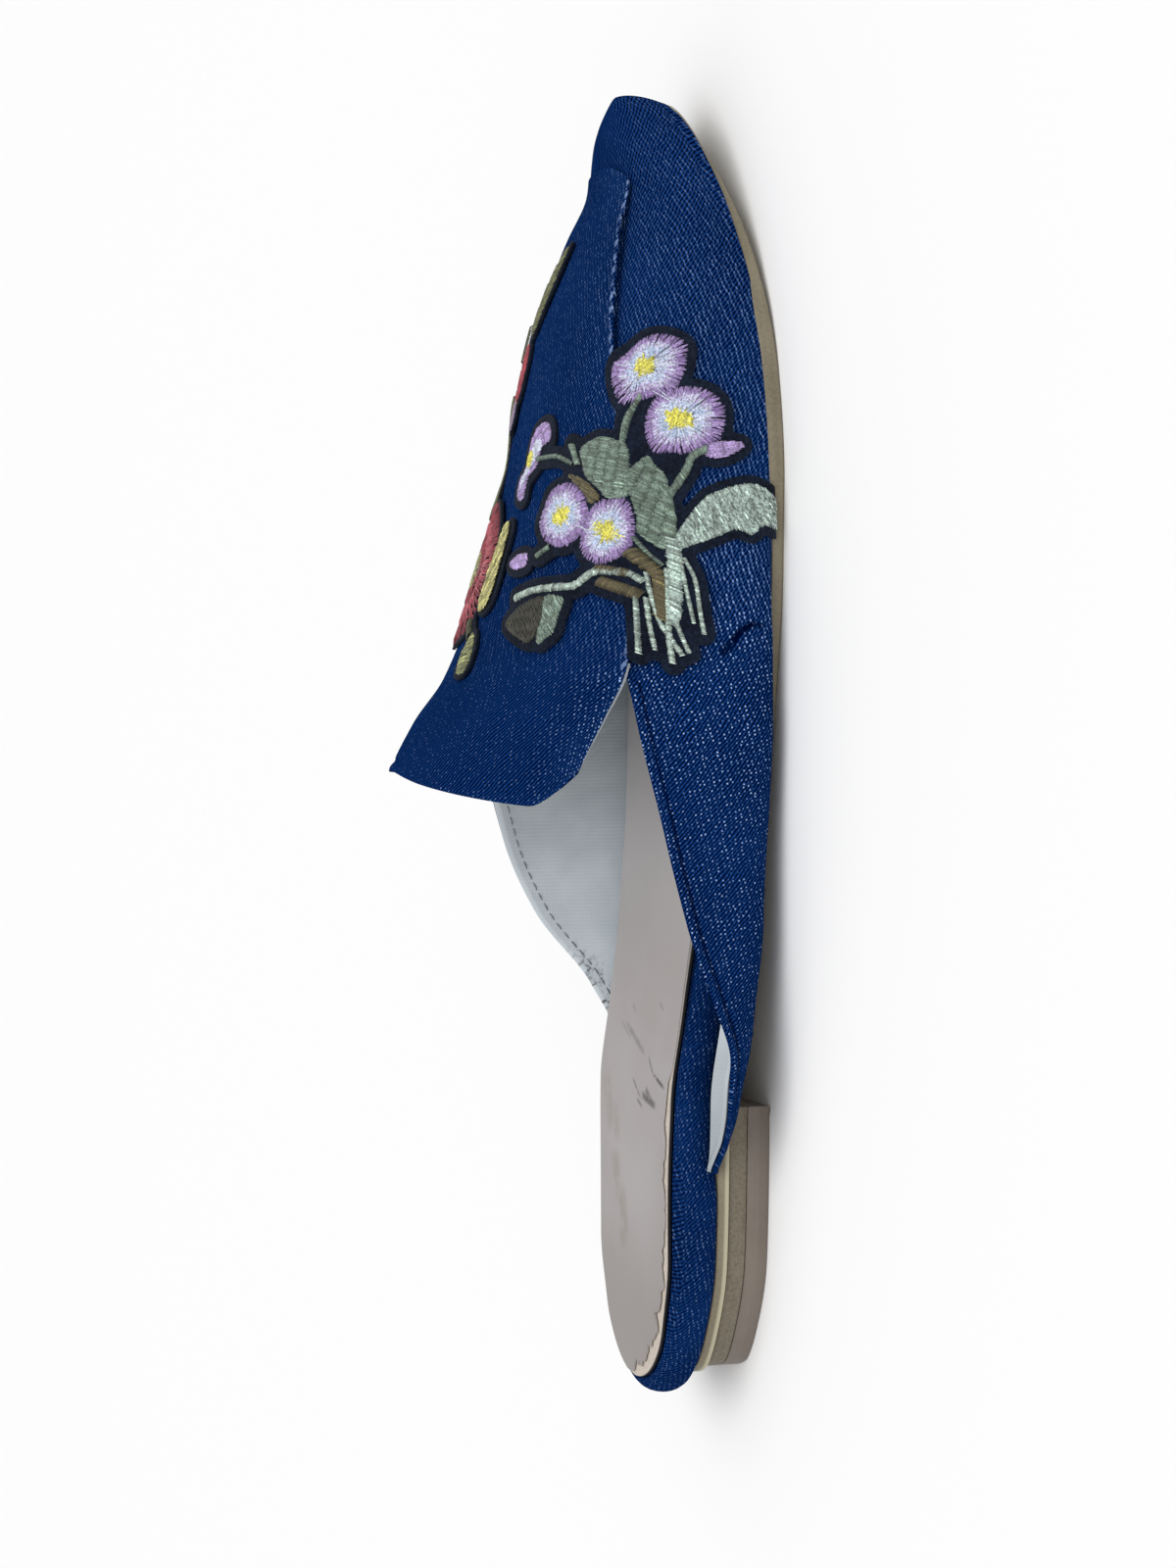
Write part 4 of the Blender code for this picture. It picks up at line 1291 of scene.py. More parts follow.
@dataclass
class Apron:
    """The raised panel on the vamp, which runs on behind the throat as the lined tongue tab."""

    last: Last
    tab_rows: int = 36
    vamp_rows: int = 110
    cells: int = 84
    corner: float = 5.0
    tab_curve: float = 6.6
    tab_corner: float = 7.2
    tab_low: float = 0.86
    tab_round: float = 0.1
    tab_start: float = 0.14
    wall_thick: float = 3.0
    bevel: float = 0.4
    lining_thick: float = 0.6
    lining_gap: float = 0.05
    lining_peek: float = 0.3
    lining_trim: float = 1.3
    lining_rows: int = 3
    pucker: float = 3.7
    pucker_high: float = 0.09
    pucker_lean: float = 0.36
    toe_taper: float = 1.1
    toe_taper_run: float = 14.0
    ripple: float = 0.10
    seam_rolls: tuple[Roll, ...] = (Roll(0.45, 0.9, 0.8), Roll(-0.22, 2.9, 1.0))
    tab_rolls: tuple[Roll, ...] = (Roll(0.22, 0.8, 0.7), Roll(-0.26, 2.4, 0.5))

    def layout(self) -> tuple[Points, Points]:
        """Places of the panel's grid.

        Returns:
            Stations and angles for each row and column.
        """
        t = np.linspace(-1, 1, self.cells + 1)
        across = np.sign(t) * (1 - (1 - np.abs(t)) ** 1.35)
        toe = self.last.apron_toe_x - self.corner * np.abs(across) ** 4
        slope = np.hypot(np.maximum(self.tab_start - across, 0), self.tab_round) - self.tab_round
        reach = np.hypot(self.tab_low + self.tab_start, self.tab_round) - self.tab_round
        curve = np.clip(1 - slope / reach, 0, 1) ** 1.2
        corner = np.clip((np.abs(across) - self.tab_low) / (1 - self.tab_low), 0, 1) ** 1.8
        tab = self.last.tab_end_x + self.tab_curve * curve + self.tab_corner * corner
        notch = self.last.notch_x
        back = 1 - (1 - np.linspace(0, 1, self.tab_rows + 1)) ** 0.75
        front = 1 - (1 - np.linspace(0, 1, self.vamp_rows + 1)[1:]) ** 1.25
        x = np.concatenate([tab + (notch - tab) * back[:, None], notch + (toe - notch) * front[:, None]])
        lateral, medial = (self.last.seam_angle(x, side) for side in Side)
        return x, lateral + (math.pi - medial - lateral) * (across + 1) / 2

    def build_denim(self) -> Object:
        """The denim panel with its pinched seam edge and the folded edge of the tab.

        Returns:
            The piece.
        """
        last = self.last
        x, angle = self.layout()
        base = last.point(x, angle)
        run, along = run_lengths(base, 1), run_lengths(base, 0)
        aside = np.minimum(run, run[:, -1:] - run)
        edge = np.minimum(aside, along)
        on_vamp = smooth_step((x - last.notch_x + 4) / 8)
        lined = (self.lining_thick + self.lining_gap) * (1 - smooth_step((x - last.notch_x + 1) / 2))
        puckers = np.sin(2 * math.pi * (x / self.pucker + self.pucker_lean * aside)) * hump(aside, 0, 1.6)
        seam = rolls(aside, self.seam_rolls) + self.pucker_high * puckers
        taper = self.toe_taper * (1 - smooth_step((along[-1] - along) / self.toe_taper_run)) * on_vamp
        waves = np.sin(x / 8.1 + run / 6.7) + np.sin(x / 12.3 - run / 10.3)
        soft = self.ripple * waves * smooth_step(edge / 5)
        thick = last.apron_thick(x) - lined
        top = thick + seam * on_vamp + rolls(edge, self.tab_rolls) * (1 - on_vamp) - taper + soft
        outer = base + normals_of(base) * (last.gap + lined + top)[..., None]
        piece = lay_grid("apron_denim", outer, x, run)
        show = 0.2 + 1.1 * hump(aside, 0, 8) * (1 - 0.8 * on_vamp)
        paint(piece, dash=0.6 * on_vamp, edge=np.where(on_vamp > 0.5, aside, edge), show=show)
        weigh(piece, "thick", np.clip(top / self.wall_thick, 0.02, 1))
        thicken(piece, self.wall_thick, vertex_group="thick", use_quality_normals=True)
        ease(piece, self.bevel)
        smooth(piece)
        return piece

    def build_lining(self) -> Object:
        """The pale lining under the tab, which peeks out along its edge.

        Returns:
            The piece.
        """
        rows = self.tab_rows + self.lining_rows
        x, angle = (grid[:rows] for grid in self.layout())
        x = x + self.lining_trim * np.linspace(1, 0, rows)[:, None]
        base = self.last.point(x, angle)
        run = run_lengths(base, 1)
        edge = np.minimum(np.minimum(run, run[:, -1:] - run), run_lengths(base, 0))
        outer = base + normals_of(base) * (self.last.gap + self.lining_thick)
        outer[:, 0] -= unit(np.gradient(base, axis=1))[:, 0] * self.lining_peek
        piece = lay_grid("tab_lining", outer, x, run)
        paint(piece, edge=edge + FAR)
        thicken(piece, self.lining_thick)
        smooth(piece)
        return piece

    def build(self) -> None:
        """Builds and dresses the panel and its lining."""
        settle(self.build_denim(), Denim("denim_apron", gain=0.9, dashes=True), "apron_tab", "denim_upper")
        settle(self.build_lining(), LiningCloth("tab_lining_cloth"), "apron_tab")


# Footbed and sock


@dataclass
class Footbed:
    """The denim-wrapped platform with a rolled edge, and the sock glued on it, peeling along its outer side.

    Roll is the rolled edge: how far in from the plan each level lies, and its share of the height. Under_sock is
    the groove round the sock: each level's place in from the sock's edge, and its share of the groove's depth.
    Layer_levels is one layer of the sock: each level's share of the way to the middle, and of the thickness. Sock is
    how far in from the feather line the sock ends. Tears is the pitch and weight of its torn edge.
    """

    last: Last
    ring_count: int = 130
    sock_count: int = 420
    clearance: float = 0.4
    turn: float = 6.0
    outer_turn: float = 16.0
    swell: float = 1.2
    sink: float = 0.25
    lump: float = 0.12
    board_low: float = 0.05
    board_thick: float = 0.5
    leather_gap: float = 0.02
    leather_thick: float = 0.4
    groove: float = 0.9
    heel_middle: float = 30.0
    curl: float = 0.2
    curl_reach: float = 0.05
    tear_seed: int = 5
    tears: tuple[Pair, ...] = ((9.0, 0.36), (3.1, 0.34), (1.2, 0.30))
    roll: tuple[Pair, ...] = (
        (1.6, 0.0), (0.8, 0.05), (0.3, 0.17), (0.05, 0.30), (0.0, 0.45), (0.15, 0.60), (0.5, 0.75), (1.0, 0.86),
        (1.6, 0.94),
    )
    under_sock: tuple[Pair, ...] = ((-0.9, 0.0), (-0.5, 0.1), (-0.2, 0.5), (0.1, 1.0), (0.6, 1.0))
    layer_levels: tuple[Pair, ...] = (
        (1.0, 0.0), (0.05, 0.0), (0.0, 0.0), (0.0, 0.7), (0.005, 1.0), (0.05, 1.0), (0.5, 1.0), (1.0, 1.0),
    )
    sock: Table = Table(
        ("x", "lateral", "medial"),
        ((0, 2.2, 2.2), (8, 2.8, 2.8), (20, 5.2, 4.2), (45, 7.6, 4.6), (84, 4.6, 4.6), (276, 4.6, 4.6)),
    )

    def plan(self) -> Points:
        """Plan of the footbed: out to the sole's edge behind the quarters, inside their walls in front.

        Returns:
            The closed outline.
        """
        ring = self.last.plan_ring(self.last.stations(self.ring_count))
        turn = np.where(ring[:, 1] < 0, self.outer_turn, self.turn)
        inner = smooth_step((ring[:, 0] - self.last.tail_x + self.turn + 1) / turn)
        return offset_ring(ring, (self.last.wall + self.clearance) * inner - self.swell * (1 - inner))

    def spine(self, ring: Points) -> Points:
        """The sock's middle line, gathered to one point in the heel.

        Args:
            ring: A plan of the sock.

        Returns:
            The middle beside each of its points.
        """
        middle = midline(ring)
        heel = middle[np.argmin(np.abs(middle[:, 0] - self.heel_middle))]
        return np.where(middle[:, :1] < heel[0], heel, middle)

    def sock_plan(self, count: int, inset: Numbers = 0.0) -> Points:
        """Plan of the sock.

        Args:
            count: Stations along it.
            inset: How much further in it is drawn.

        Returns:
            The closed outline.
        """
        x = self.last.stations(count)
        lateral, medial = (self.last.column(self.sock, side.value, x) for side in Side)
        edge = np.concatenate([lateral, medial[-2:0:-1]])
        return offset_ring(self.last.plan_ring(x), edge + inset)

    def height(self, x: Points) -> Points:
        """Height of the footbed over the outsole."""
        return self.last.column(self.last.bottom, "footbed", x)

    def top(self, x: Points) -> Points:
        """Height of the footbed's top."""
        return self.last.feather(x) + self.height(x)

    def build_wrap(self) -> Object:
        """The denim wrap, lofted through the levels of its rolled edge and down into a groove under the sock.

        Returns:
            The piece.
        """
        last, plan = self.last, self.plan()
        first = offset_ring(plan, self.roll[0][0])
        rings = [last.raised(midline(first), last.feather(first[:, 0]) - self.sink)]
        for inset, share in self.roll:
            ring = offset_ring(plan, inset)
            x = ring[:, 0]
            lumps = self.lump * np.sin(x / 3.1 + 2.0 * np.sin(x / 9.0)) * math.sin(math.pi * share)
            rise = share * self.height(x) + lumps - self.sink * (1 - share)
            rings.append(last.raised(ring, last.feather(x) + rise))
        for inset, drop in self.under_sock:
            ring = self.sock_plan(self.ring_count, inset)
            rings.append(last.raised(ring, self.top(ring[:, 0]) - self.groove * drop))
        ring = midline(ring)
        rings.append(last.raised(ring, self.top(ring[:, 0]) - self.groove))
        points = np.stack(rings)
        wrapped = np.concatenate([points, points[:, :1]], axis=1)
        steps = np.median(np.linalg.norm(np.diff(wrapped, axis=0), axis=-1)[:, 20:60], axis=1)
        girth = np.concatenate([[0], np.cumsum(np.minimum(steps, 4.0))])
        run = run_lengths(wrapped, 1)[len(rings) // 3]
        piece = lay_grid("footbed_wrap", wrapped, run[None, :], girth[:, None])
        paint(piece, edge=FAR, show=0.36, dash=0.3)
        merge(piece, closed=True)
        smooth(piece, 60)
        return piece

    def torn(self, at: Points) -> Points:
        """Ragged run of values from 0 to 1.

        Args:
            at: Places along a length, in millimetres.

        Returns:
            The value at each.
        """
        dice = np.random.default_rng(self.tear_seed)
        total = np.zeros(len(at))
        for pitch, weight in self.tears:
            knots = np.arange(-400, 400, pitch)
            total += weight * np.interp(at, knots, dice.random(len(knots)))
        return np.clip((total - 0.2) * 1.6, 0, 1)

    def peel(self, ring: Points) -> Points:
        """The plan of the leather, worn back from the board's edge along the outer side and round the heel.

        Args:
            ring: The board's plan.

        Returns:
            The leather's plan.
        """
        x, y = ring[:, 0], ring[:, 1]
        run = run_lengths(ring)
        run = np.where(np.arange(len(ring)) < len(ring) / 2, run, run - run[-1])
        worn = smooth_step((72 - x) / 10) * smooth_step((4 - y) / 8)
        deep = 2.6 + 2.0 * smooth_step((34 - x) / 16)
        amount = 0.15 + (0.4 + deep * self.torn(run)) * worn
        return ring + unit(self.spine(ring) - ring, 0.5) * amount[:, None]

    def build_layer(self, name: str, ring: Points, low: float, thick: float, curl: Numbers) -> Object:
        """One flat layer of the sock.

        Args:
            name: Name of the piece.
            ring: Its plan.
            low: Its underside's height over the footbed.
            thick: Its thickness.
            curl: How far its edge lifts.

        Returns:
            The piece.
        """
        spine = self.spine(self.sock_plan(self.sock_count))
        rings = []
        for share, height in self.layer_levels:
            level = ring + (spine - ring) * share
            lift = curl * (1 - smooth_step(share / self.curl_reach))
            rings.append(self.last.raised(level, self.top(level[:, 0]) + low + thick * height + lift))
        piece = lay_rings(name, rings, 40)
        at = np.array([v.co[:] for v in piece.data.vertices]) / MM - self.last.shift
        # marks the underside and the lower side wall, which the board's finish darkens with painted shade
        paint(piece, wall=at[:, 2] - self.top(at[:, 0]) - low < 0.8 * thick)
        return piece

    def build(self) -> None:
        """Builds and dresses the wrap and both layers of the sock."""
        settle(self.build_wrap(), Denim("denim_footbed", gain=0.8, twill=0.2), "footbed", "denim_footbed")
        ring = self.sock_plan(self.sock_count)
        high = self.last.gap + self.board_thick
        board = self.build_layer("sock_board", ring, self.board_low, high - self.board_low, 0.0)
        # the third, near-black colour is painted shade on the board's side wall, for the dark gap under the sock's
        # edge
        beige, fawn, edge = srgb(208, 198, 186), srgb(166, 152, 140), srgb(22, 22, 28)
        settle(board, Board("sock_backing", beige, fawn, grit=0.9, rough=0.9, wall=edge), "sock")
        worn = self.peel(ring)
        curl = self.curl * np.clip(np.linalg.norm(worn - ring, axis=1) - 0.5, 0, 1)
        leather = self.build_layer("sock_cover", worn, high + self.leather_gap, self.leather_thick, curl)
        settle(leather, SockLeather(self.last.shift), "sock", "sock_leather")


# Sole and heel


@dataclass
class Sole:
    """The thin outsole and the two layers of the stacked heel.

    Levels is the outsole's edge below its top: how far in each level lies, its height and its share of the bead.
    """

    last: Last
    ring_count: int = 110
    overhang: float = 1.8
    overhang_x: float = 228.0
    lip: float = 0.8
    lip_out: float = 0.4
    lip_low: float = 1.3
    lip_from: float = 176.0
    lip_to: float = 236.0
    lip_run: float = 14.0
    heel_count: int = 44
    heel_inset: float = 4.6
    heel_setback: float = 0.3
    breast_x: float = 62.4
    lift_thick: float = 4.8
    lift_soft: float = 0.45
    base_gap: float = 0.06
    base_thick: float = 3.2
    base_soft: float = 0.35
    bead: float = 0.45
    top_inset: float = 0.4
    levels: tuple[tuple[float, float, float], ...] = (
        (0.75, 0.0, 0.0), (0.3, 0.12, 0.4), (0.05, 0.4, 1.0), (0.0, 0.8, 1.0), (0.0, 1.3, 0.3), (0.0, 2.1, 0.0),
        (0.12, 2.45, 0.0),
    )

    def build_outsole(self) -> Object:
        """The outsole, its edge rounded and swelling to a bead over the heel.

        Returns:
            The piece.
        """
        last = self.last
        stations = last.sole_stations(self.ring_count)
        plan = last.plan_ring(stations, last.squared_end(stations, last.sole_inset))
        x = plan[:, 0]
        toe = smooth_step((x - self.overhang_x) / (last.length - self.overhang_x))
        heel = 1 - smooth_step((x - self.breast_x + 2) / 4)
        lip = smooth_step((x - self.lip_from) / self.lip_run) * smooth_step((self.lip_to - x) / self.lip_run)
        rings = []
        for inset, height, bead in (*self.levels, (self.top_inset, last.outsole, 0.0)):
            share = max(height - self.lip_low, 0.0) / (last.outsole - self.lip_low)
            out = self.overhang * toe - self.bead * bead * heel - self.lip_out * lip
            ring = offset_ring(plan, inset + out)
            rings.append(last.raised(ring, last.rise(ring[:, 0]) + height + self.lip * lip * share))
        under, over = (midline(ring[:, :2] - last.shift[:2]) for ring in (rings[0], rings[-1]))
        low = last.raised(under, last.rise(under[:, 0]))
        high = last.raised(over, last.rise(over[:, 0]) + last.outsole)
        return lay_rings("outsole_board", [low, *rings, high], 40)

    def heel_plan(self) -> Points:
        """Plan of the heel: the sole's outline, cut nearly square at the back and straight at the breast."""
        x = self.heel_inset + (self.breast_x - self.heel_inset) * np.linspace(0, 1, self.heel_count) ** 2
        return offset_ring(self.last.plan_ring(x, self.last.squared_end(x, self.heel_inset)), self.heel_setback)

    def build_layer(self, name: str, low: float, high: float, soft: float) -> Object:
        """One layer of the heel with eased edges.

        Args:
            name: Name of the piece.
            low: Height of its underside.
            high: Height of its top.
            soft: Rounding of its edges.

        Returns:
            The piece.
        """
        plan, raised = self.heel_plan(), self.last.raised
        levels = [(soft, low), (0.3 * soft, low + 0.3 * soft), (0.0, low + soft)]
        levels += [(0.0, high - 0.5 * soft), (0.15 * soft, high - 0.15 * soft), (0.5 * soft, high)]
        rings = [raised(offset_ring(plan, inset), height) for inset, height in levels]
        under, over = (raised(midline(offset_ring(plan, inset)), at) for inset, at in (levels[0], levels[-1]))
        return lay_rings(name, [under, *rings, over], 35)

    def build(self) -> None:
        """Builds and dresses the three layers."""
        board = Board("sole_board", srgb(138, 129, 108), srgb(95, 87, 71), grit=0.45, line_low=8.5, line_high=10.0)
        settle(self.build_outsole(), board, "outsole", "sole_board")
        top = self.lift_thick + 2 * self.last.gap + self.base_thick
        base = self.build_layer("heel_base_block", self.lift_thick + self.base_gap, top, self.base_soft)
        board = Board("heel_base_board", srgb(124, 115, 99), srgb(66, 59, 49), grit=0.9)
        settle(base, board, "heel_base", "sole_board")
        lift = self.build_layer("heel_lift_block", 0.0, self.lift_thick, self.lift_soft)
        board = Board("heel_lift", srgb(126, 116, 107), srgb(109, 99, 91), grit=0.15, rough=0.5)
        settle(lift, board, "top_lift", "heel_lift")


# Embroidery and sewn lines


@dataclass
class Ground:
    """The face that a patch lies on, addressed by station and by girth from one side's feather line.

    The apron's step is ramped over from ramp_start below its seam to ramp_end below it.
    """

    last: Last
    side: Side
    low_x: float = 140.0
    high_x: float = 256.0
    high_girth: float = 110.0
    step: float = 0.5
    reach: float = 2.1
    reach_steps: int = 241
    probe: float = 0.6
    ramp_start: float = 2.8
    ramp_end: float = 0.5

    def __post_init__(self) -> None:
        """Tabulates the girth along each section once."""
        self.xs = np.arange(self.low_x, self.high_x + self.step, self.step)
        self.gs = np.arange(0, self.high_girth + self.step, self.step)
        sweep = np.linspace(0, self.reach, self.reach_steps)
        girth = run_lengths(self.last.point(self.xs[:, None], self.turned(sweep)[None, :]), 1)
        self.table = np.array([np.interp(self.gs, row, sweep) for row in girth])
        seam = self.last.seam_angle(self.xs, self.side)
        self.seams = np.array([np.interp(a, sweep, row) for a, row in zip(seam, girth)])

    def turned(self, angle: Points) -> Points:
        """An angle from this side's feather line as an angle from the lateral one."""
        return angle if self.side is Side.LATERAL else math.pi - angle

    def angle(self, x: Points, girth: Points) -> Points:
        """Angle round the section at a girth.

        Args:
            x: Stations.
            girth: Girths from the feather line.

        Returns:
            The angles, read between the table's places.
        """
        i = np.clip((x - self.low_x) / self.step, 0, len(self.xs) - 1.001)
        j = np.clip(girth / self.step, 0, len(self.gs) - 1.001)
        i0, j0 = i.astype(int), j.astype(int)
        fi, fj = i - i0, j - j0
        near = self.table[i0, j0] * (1 - fj) + self.table[i0, j0 + 1] * fj
        far = self.table[i0 + 1, j0] * (1 - fj) + self.table[i0 + 1, j0 + 1] * fj
        return near * (1 - fi) + far * fi

    def surface(self, x: Points, girth: Points) -> Points:
        """Points of the upper's own face."""
        return self.last.point(x, self.turned(self.angle(x, girth)))

    def lay(self, x: Points, girth: Points) -> tuple[Points, Points]:
        """Points on the face with the apron's step ramped over, and their outward normals.

        Args:
            x: Stations.
            girth: Girths from the feather line.

        Returns:
            Points and unit normals.
        """
        x, girth = np.asarray(x, float), np.asarray(girth, float)
        ahead = self.surface(x + self.probe, girth) - self.surface(x - self.probe, girth)
        above = self.surface(x, girth + self.probe) - self.surface(x, np.maximum(girth - self.probe, 0))
        normals = unit(np.cross(ahead, above) if self.side is Side.LATERAL else np.cross(above, ahead))
        seam = np.interp(x, self.xs, self.seams)
        climb = np.clip((girth - seam + self.ramp_start) / (self.ramp_start - self.ramp_end), 0, 1)
        lift = self.last.gap + climb * (self.last.apron_thick(x) + self.last.gap)
        return self.surface(x, girth) + normals * lift[..., None], normals


class Stitches:
    """Collects stitches and lays them as copies of one modelled stitch.

    Girdle is the cord's share of its width at each of its stations, and flat its height for its width.
    """

    stations = 4
    sides = 4
    girdle = np.array([0.72, 1.08, 1.08, 0.72])
    flat = 0.75

    def __init__(self, name: str) -> None:
        """Starts an empty set.

        Args:
            name: Name of the piece.
        """
        self.name = name
        self.rows: list[Points] = []
        self.colours: list[Points] = []

    def add(self, ends: Points, lift: Numbers, arch: Numbers, half: Numbers, colour: Points) -> None:
        """Adds stitches.

        Args:
            ends: Start station, start girth, end station and end girth of each.
            lift: Height of its ends over the ground.
            arch: How far its middle rises over its ends.
            half: Half of its width.
            colour: Its linear colour.
        """
        sizes = [np.broadcast_to(value, len(ends)) for value in (lift, arch, half)]
        self.rows.append(np.column_stack([ends, *sizes]))
        self.colours.append(np.broadcast_to(colour, (len(ends), 3)))

    @classmethod
    def model(cls) -> tuple[Points, Points, list[list[int]]]:
        """Models one stitch: a four-sided cord with two rings between its ends.

        Returns:
            Ring number of each point, its place round the cord, and the faces.
        """
        bpy.ops.object.select_all(action="DESELECT")
        bpy.ops.mesh.primitive_cylinder_add(vertices=cls.sides, radius=1, depth=1, end_fill_type="NGON")
        cord = bpy.context.active_object
        with edit_mode(cord):
            bpy.ops.mesh.select_all(action="DESELECT")
        for edge in cord.data.edges:
            a, b = (cord.data.vertices[i].co for i in edge.vertices)
            edge.select = abs(a.z - b.z) > 0.5
        with edit_mode(cord, whole=False):
            bpy.ops.mesh.subdivide(number_cuts=cls.stations - 2)
        co = np.array([v.co[:] for v in cord.data.vertices])
        faces = [list(p.vertices) for p in cord.data.polygons]
        bpy.data.objects.remove(cord)
        return np.rint((co[:, 2] + 0.5) * (cls.stations - 1)).astype(int), co[:, :2], faces

    def lay(self, ground: Ground) -> Object:
        """Lays every stitch on the ground as one joined mesh.

        Args:
            ground: The face that they are sewn to.

        Returns:
            The piece, with a colour stored for each stitch.
        """
        rows = np.concatenate(self.rows)
        x0, g0, x1, g1, lift, arch, half = (rows[:, k : k + 1] for k in range(rows.shape[1]))
        t = np.linspace(0, 1, self.stations)
        laid = ground.lay((x0 + (x1 - x0) * t).ravel(), (g0 + (g1 - g0) * t).ravel())
        points, normals = (grid.reshape(len(rows), self.stations, 3) for grid in laid)
        rise = lift + arch * (1 - (2 * t - 1) ** 4)
        return self.weave(points + normals * rise[..., None], normals, half, np.concatenate(self.colours))

    def weave(self, points: Points, normals: Points, half: Numbers, colours: Points) -> Object:
        """Joins copies of the stitch along given centre lines.

        Args:
            points: Centre points of each stitch.
            normals: Outward directions at them.
            half: Half width, a column of one for each stitch or one for all.
            colours: Linear colour of each stitch.

        Returns:
            The joined piece.
        """
        ring, place, faces = self.model()
        aside = np.cross(normals, unit(np.gradient(points, axis=1)))
        out = aside[:, ring] * place[:, :1] + normals[:, ring] * place[:, 1:] * self.flat
        co = points[:, ring] + out * self.girdle[ring][:, None] * np.reshape(half, (-1, 1, 1))
        count, size = co.shape[:2]
        mesh = bpy.data.meshes.new(self.name)
        joined = [[i + k * size for i in face] for k in range(count) for face in faces]
        mesh.from_pydata((co.reshape(-1, 3) * MM).tolist(), [], joined)
        piece = bpy.data.objects.new(self.name, mesh)
        bpy.context.scene.collection.objects.link(piece)
        layer = mesh.attributes.new("thread", "FLOAT_COLOR", "POINT")
        rgba = np.concatenate([np.repeat(colours, size, axis=0), np.ones((count * size, 1))], axis=1)
        layer.data.foreach_set("color", rgba.astype(np.float32).ravel())
        with edit_mode(piece):
            bpy.ops.mesh.normals_make_consistent(inside=False)
        smooth(piece, 100)
        return piece


def path(*numbers: float) -> tuple[Pair, ...]:
    """Pairs of station and girth from a plain row of numbers."""
    return tuple(zip(numbers[0::2], numbers[1::2]))


def heading(degrees: float) -> tuple[Points, Points]:
    """Directions along and across an angle."""
    c, s = math.cos(math.radians(degrees)), math.sin(math.radians(degrees))
    return np.array([c, s]), np.array([-s, c])


def rays(angle: Points) -> Points:
    """Directions at angles."""
    return np.stack([np.cos(angle), np.sin(angle)], axis=1)


def walked(line: Points, run: Points, at: Numbers) -> Points:
    """Points of a line, whose distances along it are run, at given distances."""
    return np.stack([np.interp(at, run, column) for column in line.T], axis=-1)


def inside(points: Points, outline: Points) -> Points:
    """Which points lie inside a closed outline.

    Args:
        points: The points.
        outline: The outline.

    Returns:
        True or False for each point.
    """
    a, b = outline, np.roll(outline, -1, axis=0)
    px, py = points[:, None, 0], points[:, None, 1]
    crosses = (a[:, 1] > py) != (b[:, 1] > py)
    with np.errstate(divide="ignore", invalid="ignore"):
        at = a[:, 0] + (py - a[:, 1]) / (b[:, 1] - a[:, 1]) * (b[:, 0] - a[:, 0])
    return (np.sum(crosses & (px < at), axis=1) % 2).astype(bool)


def line_distance(points: Points, line: Points, closed: bool) -> Points:
    """Distance from points to a line.

    Args:
        points: The points.
        line: The line's own points.
        closed: Whether the line returns to its start.

    Returns:
        The distance of each point.
    """
    a = line if closed else line[:-1]
    step = (np.roll(line, -1, axis=0) if closed else line[1:]) - a
    length = np.maximum(np.sum(step * step, axis=1), 1e-9)
    t = np.clip(np.einsum("nkd,kd->nk", points[:, None] - a[None], step) / length, 0, 1)
    nearest = a[None] + t[..., None] * step[None]
    return np.min(np.linalg.norm(points[:, None] - nearest, axis=-1), axis=1)


def rounded(points: Sequence[Pair], closed: bool, count: int) -> Points:
    """A smooth curve through a few points, at equal steps.

    Args:
        points: The points.
        closed: Whether the curve returns to its start.
        count: Points of the curve.

    Returns:
        The curve.
    """
    p = np.array(points, float)
    before, after = (p[-1:], p[:2]) if closed else (2 * p[:1] - p[1:2], 2 * p[-1:] - p[-2:-1])
    p = np.concatenate([before, p, after])
    t = np.linspace(0, 1, 9)[:-1, None]
    runs = []
    for a, b, c, d in zip(p[:-3], p[1:-2], p[2:-1], p[3:]):
        bend, twist = 2 * a - 5 * b + 4 * c - d, 3 * b - a - 3 * c + d
        runs.append(0.5 * (2 * b + (c - a) * t + bend * t**2 + twist * t**3))
    curve = np.concatenate([*runs, p[1:2] if closed else p[-2:-1]])
    run = run_lengths(curve)
    at = np.linspace(0, run[-1], count + 1)[:-1] if closed else np.linspace(0, run[-1], count)
    return walked(curve, run, at)


class Satin(NamedTuple):
    """A stem or ribbon sewn across its own line."""

    half: float
    slant: float
    tone: Colour
    vary: float
    points: tuple[Pair, ...]


class Leaf(NamedTuple):
    """An outline filled with stitches that run at an angle and break at lanes."""

    turn: float
    lane: float
    tone: Colour
    vary: float
    points: tuple[Pair, ...]
    brick: float = 0.0
    lift: float = 0.0


class Bloom(NamedTuple):
    """A round flower seen from the front: its middle, the axis and half sizes of its eye, and its outline."""

    x: float
    girth: float
    eye: float
    eye_long: float
    eye_wide: float
    points: tuple[Pair, ...]


class Tier(NamedTuple):
    """A ring of radial stitches: shares of the radius, spread of the ends, count, lift, tones and their spread."""

    inner: float
    outer: float
    ragged: float
    count: int
    lift: float
    tones: tuple[Colour, Colour]
    vary: float


SAGE, PALE, WILLOW = srgb(123, 143, 128), srgb(186, 204, 193), srgb(176, 195, 186)
UMBER, BARK = srgb(100, 90, 58), srgb(52, 51, 37)
LILAC, PLUM, MILK, ICE = srgb(190, 164, 218), srgb(134, 104, 166), srgb(228, 234, 252), srgb(186, 206, 238)
LEMON = srgb(238, 230, 96)
OLIVE, FERN, MOSS, MAUVE = srgb(104, 106, 64), srgb(72, 78, 44), srgb(134, 138, 88), srgb(164, 140, 168)
SCARLET, WINE, ROSE, GOLD = srgb(172, 50, 66), srgb(122, 36, 50), srgb(208, 112, 122), srgb(204, 198, 128)


